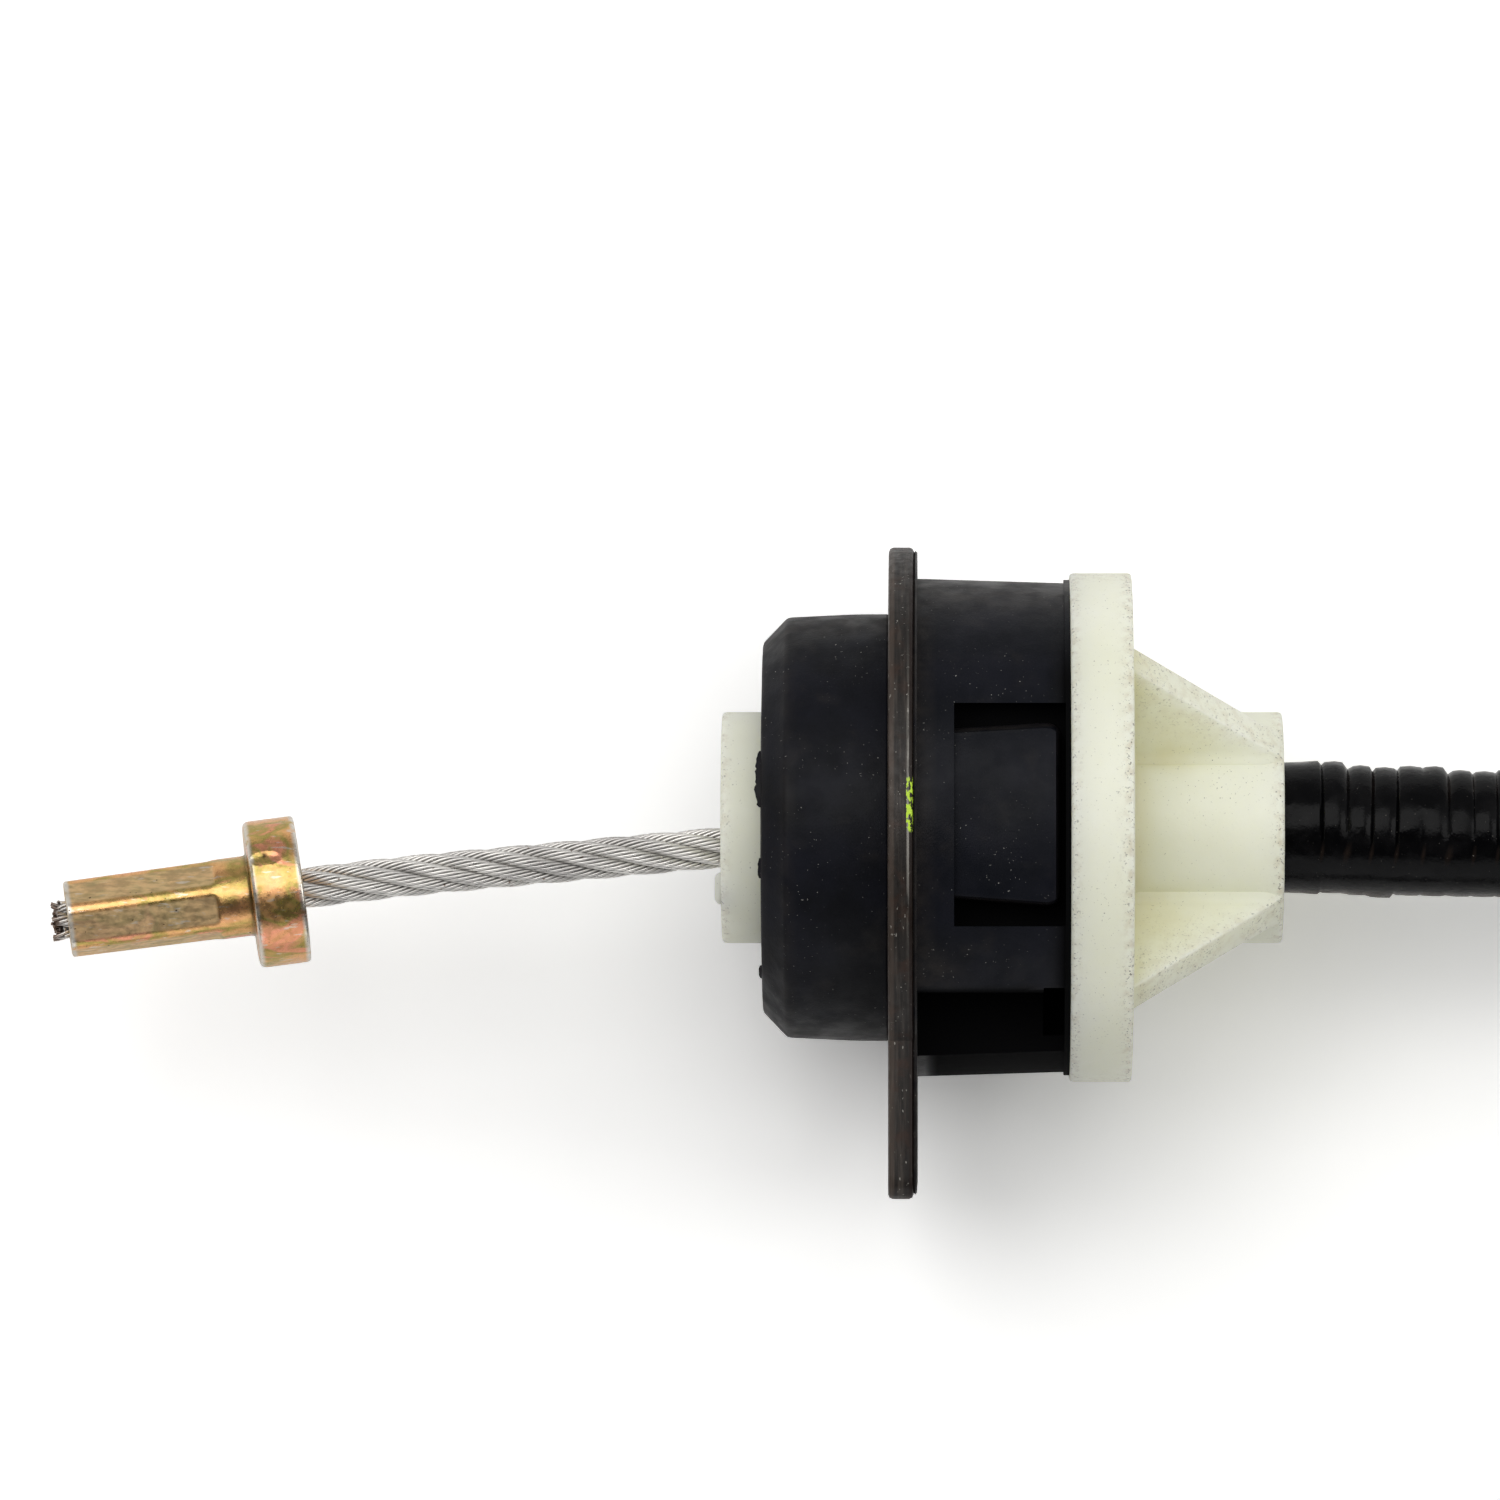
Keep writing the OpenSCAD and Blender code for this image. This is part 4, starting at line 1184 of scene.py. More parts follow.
@dataclass(frozen=True)
class Casing:
    """The ribbed jacket in one piece."""

    coil: Coil = Coil()
    radius: float = 5.9
    pitch: float = 2.245
    groove: float = 0.36
    half_groove: float = 0.27
    grooves: tuple[float, ...] = (38.83, 41.12, 43.31, 45.55, 47.92, 50.2, 52.44, 54.55)
    # Numbers of the grooves that are wider, and of the one cut over a short arc only.
    wide: tuple[int, ...] = (1, 5)
    half_wide: float = 0.46
    shallow: int = 4
    crowns: tuple[float, ...] = (5.96, 5.66, 5.58, 5.78, 5.78, 5.5, 5.46, 5.6)
    sides: int = 32
    seat_x: float = 28.0
    uneven: float = 0.07

    @property
    def around(self) -> Points:
        """Angles of a ring's points, from the right of the run."""
        return np.arange(self.sides) * TAU / self.sides

    @property
    def lean(self) -> Points:
        """The same in degrees from straight up towards the right, where the mould left a smooth strip."""
        return np.degrees(half_turn(math.pi / 2 - self.around))

    def stations(self, length: float) -> tuple[Points, Points]:
        """Where along the jacket its rings lie.

        Args:
            length: The jacket's length.

        Returns:
            Distance of each groove from the jacket's start, and the distances of four rings for
            each band: its groove, its two shoulders and its crown.
        """
        first = np.array(self.grooves) - self.seat_x
        more = np.arange(first[-1] + self.pitch, length + self.pitch, self.pitch)
        at = np.concatenate([first, more])
        half = np.full(len(at), self.half_groove)
        half[list(self.wide)] = self.half_wide
        after = np.append(at[1:], at[-1] + self.pitch)
        next_half = np.append(half[1:], self.half_groove)
        return at, np.stack([at, at + half, (at + after) / 2, after - next_half], axis=1)

    def radii(self, bands: int) -> Points:
        """Radii of four rings for each band: its groove, its two shoulders and its crown.

        Args:
            bands: How many bands there are.

        Returns:
            One radius for each band, ring and side.
        """
        rng = np.random.default_rng(7)
        around, lean = self.around, self.lean
        ribbed = 1 - ease(lean, 14, 26) * (1 - 0.25 * ease(lean, 70, 84))
        size = self.radius - 0.05 + self.uneven * (rng.random((bands, 1)) - 0.55)
        known = np.array(self.crowns)[:, None]
        left = ease(-lean, -10, 70)[None, :]
        size = np.broadcast_to(size, (bands, self.sides)).copy()
        size[: len(known)] = self.radius + (known - self.radius) * left
        wave = 0.03 * np.sin(around[None, :] * 2 + rng.random((bands, 1)) * TAU)
        depth = self.groove * (0.75 + 0.5 * rng.random((bands, 1))) * ribbed[None, :]
        # The shallow groove also has a nick at the left.
        depth[self.shallow] *= ease(lean, -9, -2) + 0.6 * ease(-lean, 50, 75)
        crown = size + wave * ribbed[None, :]
        # Ragged flash hangs from the right of the smooth strip.
        ragged = ease(lean, 74, 86) * (1 - ease(lean, 94, 106))
        crown += 0.26 * ease(rng.random((bands, 1)), 0.55, 0.75) * ragged
        shoulder = crown - 0.07 * ribbed
        return np.stack([crown - depth, shoulder, crown + 0.02 * ribbed, shoulder], axis=1)

    def build(self) -> Piece:
        """Builds the jacket.

        Returns:
            The piece.
        """
        line = smooth_line(self.coil.route(self.seat_x), 0.25)
        gone = travelled(line)
        grooves, stops = self.stations(gone[-1])
        radii = self.radii(len(grooves)).reshape(-1, self.sides)
        stops = stops.ravel()
        radii, stops = radii[stops <= gone[-1]], stops[stops <= gone[-1]]
        # The mouth of the housing holds a plain stretch.
        plain = np.array([0.0, 2.5, 5.0, 7.5, 9.0, grooves[0] - self.half_groove])
        stops = np.concatenate([plain, stops])
        start = self.radius + np.array([-0.04, -0.04, -0.04, -0.04, 0.02, 0.12])[:, None]
        radii = np.concatenate([np.broadcast_to(start, (len(plain), self.sides)), radii])
        shell = Shell().loft(tube(points_at(line, gone, stops), radii, self.sides))
        # Painted shade in the grooves.
        shell.masks["nook"] = np.clip((self.radius - 0.5 - radii.ravel()) / 0.2, 0, 1)
        # Dull where the strip ends, and a painted highlight where the grooves do.
        lean = self.lean
        ends = 0.12 * ease(lean, 12, 22) * (1 - ease(lean, 24, 30))
        dull_and_lit = np.tile(0.8 * ease(lean, 72, 88) * (1 - ease(lean, 92, 106)), (len(stops), 1))
        dull_and_lit[len(plain) :: 4] += ends
        shell.masks["edge"] = dull_and_lit.ravel()
        nodes = [f"conduit_{part}" for part in ("end", "lead", "coil", "tail", "far_end")]
        return place(shell, "casing_jacket", JACKET_PLASTIC, Body.CASING, nodes, crease=60)

    def declare(self) -> None:
        """Works out the jacket's middle line from its exit, and does nothing more with it.
        """
        line = smooth_line(self.coil.route(self.coil.exit_x), 4.0)


@dataclass(frozen=True)
class CoilTie:
    """A cable tie round the turns that pass at one angle."""

    node: str
    angle: float
    coil: Coil = Coil()
    casing_r: float = 5.9
    width: float = 4.6
    thick: float = 1.2

    def loop(self) -> Points:
        """The strap's middle line, as radius and height.

        Returns:
            Its points.
        """
        reach = self.casing_r + 0.05 + self.thick / 2
        around = np.linspace(0, TAU, 48, endpoint=False)
        ring = reach * np.stack([np.cos(around), np.sin(around)], 1)
        cloud = np.concatenate([np.array(turn) + ring for turn in self.coil.crossing(self.angle)])
        order = cloud[np.lexsort((cloud[:, 1], cloud[:, 0]))].tolist()

        def half(points: list[list[float]]) -> list[list[float]]:
            """One side of the hull of sorted points.

            Args:
                points: The sorted points.

            Returns:
                Those on the hull.
            """
            kept: list[list[float]] = []
            for p in points:
                while len(kept) > 1:
                    (ax, ay), (bx, by) = kept[-2], kept[-1]
                    if (bx - ax) * (p[1] - ay) - (by - ay) * (p[0] - ax) > 1e-9:
                        break
                    kept.pop()
                kept.append(p)
            return kept[:-1]

        return np.array(dense([tuple(p) for p in half(order) + half(order[::-1])], 1.2, wrap=True))

    def build(self) -> Piece:
        """Builds the strap, its head and its cut tail.

        Returns:
            The piece.
        """
        line = self.loop()
        out = unit(np.roll(line, -1, 0) - np.roll(line, 1, 0))
        out = np.stack([out[:, 1], -out[:, 0]], 1)
        half_w, half_t = self.width / 2, self.thick / 2
        corners = [(w * half_w, t * half_t, 0.3) for w, t in ((-1, -1), (1, -1), (1, 1), (-1, 1))]
        section = rounded(corners, wrap=True, steps=4)
        rings = [[[p[0] + n[0] * t, w, p[1] + n[1] * t] for w, t in section] for p, n in zip(line, out)]
        shell = Shell().loft(np.array(rings), wrap=True)
        mid_z = (self.coil.top_z + self.coil.low_z) / 2
        outer = max(line[:, 0]) + half_t
        slot = box((-3, -1.4, -0.7), (3.2, 1.4, 0.7))
        head = block((5.6, self.width + 1.0, 4.6), 0.7).carved([slot], 0.15, 2)
        tail = block((2.6, self.width * 0.8, 1.0), 0.3)
        shell.join(head.move(shift(outer + 2.4, 0, mid_z)))
        shell.join(tail.move(shift(outer + 4.6, 0, mid_z + 0.1)))
        turn = Matrix.Rotation(math.radians(self.angle), 4, "Z")
        shell.move(shift(*self.coil.centre, 0) @ turn)
        return place(shell, f"{self.node}_strap", TIE_PLASTIC, Body.CASING, (self.node,))


# ---- Pedal end ------------------------------------------------------------------------------


@dataclass(frozen=True)
class RopeRun:
    """The pedal rope's middle line, from inside the housing to the far face of the terminal."""

    start_x: float = 19.0
    bend_x: float = 14.0
    first_bend: float = 6.1
    first_arc: float = 18.0
    straight: float = 34.9
    second_bend: float = 2.8
    second_arc: float = 14.1
    lean_turn: float = 32.7
    barrel: float = 21.3
    tuft: float = 1.0
    step: float = 0.4

    @property
    def tip_up(self) -> Matrix:
        """Turns the plane in which the rope bends about the cable's axis."""
        return Matrix.Rotation(math.radians(-self.lean_turn), 4, "X")

    @property
    def normal(self) -> Points:
        """Normal of the plane in which the rope bends."""
        return np.array(self.tip_up.to_3x3() @ Vector((0, 0, 1)))

    @property
    def length(self) -> float:
        """Length up to the ends of the wires."""
        return self.terminal_at + self.barrel + self.tuft

    @property
    def terminal_at(self) -> float:
        """Length up to the terminal's near face."""
        return self.start_x - self.bend_x + self.first_arc + self.straight + self.second_arc

    def points(self) -> Points:
        """Evenly spaced points of the line, starting inside the housing.

        Returns:
            The points.
        """
        gone = np.arange(0, self.length + self.step, self.step)
        first = np.clip((gone - (self.start_x - self.bend_x)) / self.first_arc, 0, 1)
        second = np.clip((gone - (self.terminal_at - self.second_arc)) / self.second_arc, 0, 1)
        heading = np.radians(180 + self.first_bend * first + self.second_bend * second)
        steps = self.step * np.stack([np.cos(heading), np.sin(heading), 0 * heading], axis=1)
        run = np.concatenate([[[0, 0, 0]], np.cumsum(steps[:-1], axis=0)])
        flat = np.array([self.start_x, 0.0, 0.0]) + run
        return flat @ np.array(self.tip_up.to_3x3()).T

    def terminal_frame(self) -> Matrix:
        """Places the terminal: its own X runs along the rope away from the housing.

        Returns:
            The terminal's place.
        """
        line = self.points()
        start = Vector(points_at(line, np.arange(len(line)) * self.step, self.terminal_at))
        turn = Matrix.Rotation(math.radians(180 + self.first_bend + self.second_bend), 4, "Z")
        return Matrix.Translation(start) @ self.tip_up @ turn

    def from_top(self, turn: float) -> float:
        """Angle in the terminal's frame of what lies that many degrees from its top, off the ear."""
        return math.radians(90 - self.lean_turn + turn)


@dataclass(frozen=True)
class WireRope:
    """A rope of six strands, each with a ring of fine wires round its heart."""

    radius: float = 1.86
    strands: int = 6
    wires: int = 10
    wire_r: float = 0.16
    lay: float = 25.5
    strand_lay: float = 8.6
    wire_sides: int = 8

    @property
    def strand_r(self) -> float:
        """Radius of one strand, which sinks a little into its neighbours."""
        return 0.36 * self.radius

    def bundle(self, line: Points, step: float, normal: Points, tuft: float = 0.0) -> Shell:
        """All wires of the rope along a line that bends in one plane.

        Args:
            line: The rope's middle line.
            step: Distance between its points.
            normal: Normal of the line's plane.
            tuft: Length at the line's end over which the wires spread and end unevenly.

        Returns:
            The shell, with painted shade for its grooves in the mask nook and the spread ends in the mask
            edge.
        """
        rng = np.random.default_rng(3)
        gone = np.arange(len(line)) * step
        run = unit(np.gradient(line, axis=0))
        side = np.cross(run, normal)
        turn = -TAU * gone
        loose = ease(gone, gone[-1] - tuft, gone[-1]) if tuft else 0 * gone
        shell, masks, frayed = Shell(), [], []

        def add(rings: Points, dark: Points | float, spread: Points) -> None:
            """Adds a tube.

            Args:
                rings: Its rings.
                dark: How dark its points are.
                spread: How far each ring is spread.
            """
            shell.loft(rings)
            masks.append(np.broadcast_to(dark, rings.shape[:2]).ravel())
            frayed.append(np.repeat(spread, rings.shape[1]))

        heart = self.strand_r - self.wire_r - 0.06
        add(tube(line, self.radius - 2 * self.strand_r + 0.12, 12), 1.0, loose)
        for k in range(self.strands):
            around = TAU * k / self.strands + turn / self.lay
            reach = self.radius - self.strand_r
            middle = line + reach * (np.cos(around)[:, None] * side + np.sin(around)[:, None] * normal)
            inner = len(line) - max(1, round(tuft / step)) if tuft else len(line)
            add(tube(middle[:inner], heart, 8), 1.0, loose[:inner])
            for w in range(self.wires):
                spin = TAU * w / self.wires - turn / self.strand_lay
                off = self.strand_r - self.wire_r
                out = np.cos(spin)[:, None] * side + np.sin(spin)[:, None] * normal
                wander = rng.normal(0, 0.13, 3) if tuft else np.zeros(3)
                wire = middle + off * out + loose[:, None] * (0.1 * out + wander)
                last = len(line) - int(rng.integers(0, 3)) if tuft else len(line)
                rings = tube(wire[:last], self.wire_r, self.wire_sides, spin=around[:last])
                # Painted shade: dark between the strands, less so between a strand's wires and at the cut
                # ends.
                deep = np.linalg.norm(wire[:last] - line[:last], axis=1)
                turned_in = np.sum((rings - wire[:last, None]) * out[:last, None], axis=2) / -self.wire_r
                low = (1 - ease(deep, 0.92, 1.36))[:, None] + 0.75 * ease(turned_in, -0.75, 0.0)
                add(rings, np.minimum(low, 1), loose[:last])
        shell.masks["nook"], shell.masks["edge"] = np.concatenate(masks), np.concatenate(frayed)
        return shell


@dataclass(frozen=True)
class PedalTerminal:
    """Turned and crimped end stop of the pedal rope, in its own frame."""

    run: RopeRun = RopeRun()
    collar_r: float = 6.6
    collar_t: float = 4.6
    neck_r: float = 3.6
    crimp_x: float = 7.5
    tip_x: float = 21.15
    tip_r: float = 3.5
    flats: Pair = (6.6, 6.42)
    corner: float = 15.0
    bore_r: float = 1.7
    mark_x: float = 3.1
    mark_turn: float = 29.0
    mark_size: Pair = (1.25, 0.62)
    mark_depth: float = 0.16
    # How sharply the facets meet the strips between them.
    sharpness: float = 14.0

    def corner_r(self, x: Points | float) -> Points:
        """Radius of the strips that the press leaves between its facets."""
        return np.interp(x, [self.crimp_x, self.tip_x], [self.neck_r, self.tip_r])

    def shape(self, x: float, radius: float, angles: Points) -> Points:
        """Presses the hexagon into the barrel and the punch mark into the collar.

        Args:
            x: The ring's station.
            radius: Its radius in the outline.
            angles: Its points' angles.

        Returns:
            The ring's radii.
        """
        radii = np.full(len(angles), radius)
        if x > self.crimp_x and radius > self.bore_r + 0.2:
            start = self.run.from_top(self.corner)
            flats = float(np.interp(x, [self.crimp_x, self.tip_x], self.flats))
            facet = np.exp(-self.sharpness * across_flats(angles, flats, start))
            pressed = -np.log(facet + math.exp(-self.sharpness * self.corner_r(x))) / self.sharpness
            # A facet's end is rounded: it starts later near the facet's sides.
            off = np.abs(np.mod(angles - start, TAU / 6) / (TAU / 12) - 1)
            share = ease(x - self.crimp_x - 0.9 * off**5, 0.0, 0.5)
            radii = np.minimum(radii, self.neck_r + (pressed - self.neck_r) * share)
        if 0.3 < x < self.collar_t and radius > self.collar_r - 0.2:
            across = radius * half_turn(angles - self.run.from_top(self.mark_turn))
            away = np.hypot((x - self.mark_x) / self.mark_size[0], across / self.mark_size[1])
            radii -= self.mark_depth * np.sqrt(np.clip(1 - away**2, 0, 1))
            radii += 0.05 * np.exp(-((away - 1.2) ** 2) / 0.03)
        return radii

    def build(self) -> Piece:
        """Builds the terminal.

        Returns:
            The piece.
        """
        outer = rounded(
            [
                (0, self.bore_r, 0), (0, self.collar_r, 0.35),
                (self.collar_t, self.collar_r, 0.6), (self.collar_t, self.neck_r, 0.45),
                (self.tip_x, self.neck_r, 0.6), (self.tip_x, self.bore_r, 0),
            ]
        )
        profile = dense(outer, 0.22) + dense([(self.tip_x, self.bore_r), (0, self.bore_r)], 3.0)[1:-1]
        shell = Shell().loft(turned(profile, 216, self.shape), wrap=True)
        x, r = shell.points[:, 0], off_axis(shell.points)
        flat = ease(self.corner_r(x) - r, 0.05, 0.12) * ease(x, self.crimp_x, self.crimp_x + 0.4)
        shell.masks["worked"] = flat * (r > self.bore_r + 0.3)
        rims = [
            (0.15, self.collar_r - 0.1),
            (self.collar_t - 0.25, self.collar_r - 0.25),
            (self.tip_x - 0.2, self.neck_r - 0.25),
        ]
        near = [np.hypot(x - rx, r - rr) for rx, rr in rims]
        shell.masks["edge"] = 1 - ease(np.min(near, axis=0), 0.1, 0.4)
        angles = np.arctan2(shell.points[:, 2], shell.points[:, 1])
        across = self.collar_r * half_turn(angles - self.run.from_top(self.mark_turn))
        dirt = 1 - ease(np.hypot(x - self.mark_x, across - 0.3), 0.12, 0.36)
        # Painted shade where the neck meets the collar, and a dark spot in the punch mark.
        root_shade = 0.6 * (1 - ease(np.hypot(x - self.collar_t, r - self.neck_r), 0.1, 0.6))
        shell.masks["nook"] = np.maximum(root_shade, dirt * (r > self.collar_r - 0.6))
        shell.move(self.run.terminal_frame())
        return place(shell, "pedal_terminal_turned", YELLOW_ZINC, Body.PEDAL_WIRE, ("pedal_terminal",))


@dataclass(frozen=True)
class PedalRope:
    """The rope between the housing and the terminal, with its brush of cut ends."""

    run: RopeRun = RopeRun()
    rope: WireRope = WireRope()

    def build(self) -> Piece:
        """Builds the rope."""
        shell = self.rope.bundle(self.run.points(), self.run.step, self.run.normal, self.run.tuft)
        return place(shell, "pedal_rope_strands", ROPE_WIRE, Body.PEDAL_WIRE, ("pedal_rope",), crease=75)


# ---- Housing, isolators and plate -----------------------------------------------------------


@dataclass(frozen=True)
class EndHousing:
    """Nylon sleeve with its flange and four webs."""

    sleeve_r: float = 10.4
    bush_r: float = 6.0
    rope_r: float = 2.6
    front_x: float = -15.0
    back_x: float = 35.35
    flange: Pair = (16.2, 21.8)
    flange_r: float = 22.9
    bush_end_x: float = 13.0
    seat_x: float = 20.0
    web_t: float = 3.0
    web_top: float = 21.3
    web_end_x: float = 35.0

    def sleeve(self) -> Shell:
        """The turned part.

        Returns:
            The shell.
        """
        front, back = self.flange
        outline = rounded(
            [
                (self.front_x, self.bush_r, 0.3), (self.front_x, self.sleeve_r, 0.45),
                (front, self.sleeve_r, 0.3), (front, self.flange_r, 0.4),
                (back, self.flange_r, 0.4), (back, self.sleeve_r, 0.7),
                (self.back_x, self.sleeve_r, 0.45), (self.back_x, self.bush_r, 0.4),
                (self.seat_x, self.bush_r, 0), (self.seat_x, self.rope_r, 0),
                (self.bush_end_x, self.rope_r, 0), (self.bush_end_x, self.bush_r, 0),
            ],
            wrap=True,
        )
        return lathe(outline, 0.7, 160)

    def web(self, angle: float) -> Shell:
        """One web.

        Args:
            angle: Its angle about X, in degrees.

        Returns:
            The shell.
        """
        sunk = 0.4
        base, top, start = self.sleeve_r - 0.6, self.web_top, self.flange[1] - sunk
        half = self.web_t / 2
        rings = []
        for share in np.linspace(0, 1, 28):
            x = start + (self.web_end_x - start) * share
            fall = max(0.0, (x - start - sunk) / (self.web_end_x - start - sunk))
            ridge = top + (self.sleeve_r + 0.05 - top) * fall
            # The fillet at the foot dies out where the web runs into the sleeve.
            fillet = min(0.7, 0.4 * (ridge - base))
            foot, height = half + fillet, base + 0.45
            side = rounded(
                [
                    (-foot, base, 0), (-foot + 0.05, height, 0.1),
                    (-half, height + fillet, 0.5), (-half, ridge, 0.3),
                    (half, ridge, 0.3), (half, height + fillet, 0.5),
                    (foot - 0.05, height, 0.1), (foot, base, 0),
                ]
            )
            rings.append([[x, across, up] for across, up in side])
        return Shell().loft(np.array(rings)).move(Matrix.Rotation(math.radians(angle), 4, "X"))

    def build(self) -> Piece:
        """Builds the housing.

        Returns:
            The piece.
        """
        shell = self.sleeve().carved([self.web(angle) for angle in (45, 135, 225, 315)], how="UNION")
        # A nib of moulding flash on the sleeve's front face.
        shell.join(block((1.3, 2.9, 1.3), 0.6, 5).move(shift(self.front_x + 0.08, -5.4, 6.8)))

        def polar(points: Points) -> tuple[Points, Points, Points]:
            """Station, radius and distance from the nearest web's middle.

            Args:
                points: The points.

            Returns:
                The three, for each point.
            """
            r = off_axis(points)
            turn = np.mod(np.arctan2(points[:, 2], points[:, 1]), TAU / 4) - TAU / 8
            return points[:, 0], r, r * np.abs(np.sin(turn))

        def nook(points: Points) -> Points:
            """Painted shade in the corners between the webs, the flange and the sleeve.

            Args:
                points: The shell's points.

            Returns:
                The mask.
            """
            x, r, off = polar(points)
            flange = bell(x, self.flange[1], 1.6) * (r < self.flange_r - 1.2)
            web = bell(off, self.web_t / 2, 1.3) * (r < self.sleeve_r + 2.5) * ease(x, 32, 24)
            return np.maximum(flange, web) * (x > self.flange[1] - 0.2)

        def rim(points: Points) -> Points:
            """Edges of the flange, the sleeve and the webs, where dirt sits.

            Args:
                points: The shell's points.

            Returns:
                The mask.
            """
            x, r, _ = polar(points)
            near, far = self.flange
            outer = r > self.flange_r - 0.8
            flange = outer * np.maximum(bell(x, far - 0.4, 0.5), 0.7 * bell(x, near + 0.3, 0.4))
            sleeve = (r > self.sleeve_r - 0.9) * bell(x, self.back_x - 0.4, 0.5)
            slope = self.web_top + (self.sleeve_r - self.web_top) * (x - far) / (self.web_end_x - far)
            web = (x > far + 0.3) * (r > self.sleeve_r + 0.3) * 0.5 * bell(r, slope, 0.5)
            ends = 0.5 * outer * ease(np.abs(points[:, 1]) / r, 0.95, 1.0)
            front = 0.6 * (r > self.sleeve_r - 0.6) * bell(x, self.front_x + 0.3, 0.4)
            return np.max([flange, sleeve, web, ends, front], axis=0)

        shell.paint("nook", nook).paint("edge", rim)
        return place(shell, "end_housing_moulded", HOUSING_NYLON, Body.CASING, ("end_housing",))


@dataclass(frozen=True)
class GuideBush:
    """Nylon bush whose mouth flares where the rope leaves it."""

    radius: float = 5.98
    front_x: float = -15.0
    back_x: float = 13.0
    mouth_r: float = 1.9
    flare_r: float = 169.07
    flare_from: float = 14.0

    def bore(self, x: float) -> float:
        """Radius of the hole at a station."""
        return self.mouth_r + self.flare_r - math.sqrt(self.flare_r**2 - (self.flare_from - x) ** 2)

    def build(self) -> Piece:
        """Builds the bush.

        Returns:
            The piece.
        """
        inner = [(x, self.bore(x), 0.0) for x in np.linspace(self.back_x, self.front_x + 0.8, 24)]
        lip_x, lip = self.front_x + 0.1, self.bore(self.front_x) + 0.1
        outer = [(lip_x, lip, 0.5), (lip_x, self.radius, 0.4), (self.back_x, self.radius, 0)]
        shell = lathe(rounded([*outer, *inner], wrap=True), 1.2, 96)
        return place(shell, "guide_bush_moulded", HOUSING_NYLON, Body.CASING, ("guide_bush",))


@dataclass(frozen=True)
class FrontIsolator:
    """Rubber boss in front of the plate, chamfered, with bits of flash on its rim."""

    bore_r: float = 10.45
    front_x: float = -11.4
    nose_r: float = 16.6
    nose_draft: float = 0.1
    shoulder: Pair = (-9.1, 18.9)
    body_x: float = -3.0
    body_r: float = 19.2
    spigot_r: float = 13.9
    back_x: float = 2.25
    flash: tuple[Triple, ...] = ((1.9, 6.9, 0.5), (-4.4, -2.6, 0.16), (-13.4, -12.2, 0.2))

    def torn(self, low: float, high: float, out: float) -> Shell:
        """A strip of torn flash on the front rim.

        Args:
            low, high: Where it starts and ends along Y.
            out: How far it stands out.

        Returns:
            The strip.
        """
        rng = np.random.default_rng(round(100 * high) + 2000)
        rings = []
        for y in np.linspace(low, high, max(4, round((high - low) / 0.22))):
            share = (y - low) / (high - low)
            tip = 0.04 + out * math.sin(math.pi * share) ** 0.4 * (0.45 + 0.55 * rng.random())
            z = math.sqrt((self.nose_r - 0.45) ** 2 - y**2)
            root_x, tip_x = self.front_x + 0.2, self.front_x - tip
            section = ((root_x, -0.3), (root_x, 0.3), (tip_x, 0.16), (tip_x, -0.1))
            rings.append([[x, y, z + up] for x, up in section])
        return Shell().loft(np.array(rings))

    def build(self) -> Piece:
        """Builds the boss.

        Returns:
            The piece.
        """
        x, r = self.shoulder
        outline = rounded(
            [
                (self.front_x, self.bore_r, 0.25), (self.front_x, self.bore_r + 1.8, 1.0),
                (self.front_x + self.nose_draft, self.nose_r, 0.3), (x, r, 0.35),
                (self.body_x, self.body_r, 1.2), (0, self.body_r, 0.25), (0, self.spigot_r, 0),
                (self.back_x, self.spigot_r, 0.3), (self.back_x, self.bore_r, 0),
            ],
            wrap=True,
        )
        shell = lathe(outline, 0.8, 160)
        for strip in self.flash:
            shell.join(self.torn(*strip))

        def edge(points: Points) -> Points:
            """The chamfer, and dust and painted sheen along the boss's +Y and -Y sides.

            Args:
                points: The shell's points.

            Returns:
                The mask.
            """
            px, radius = points[:, 0], off_axis(points)
            ring = bell(px, x, 0.5) + bell(px, self.front_x, 0.5)
            up = points[:, 1] / radius
            dust_and_sheen = 0.8 * ease(up, 0.86, 0.97) + 0.6 * ease(-up, 0.9, 0.98)
            return (ring * 0.5 + dust_and_sheen) * (radius > self.nose_r - 0.5)

        shell.paint("edge", edge)
        return place(shell, "front_isolator_boss", FRONT_RUBBER, Body.CASING, ("front_isolator",))


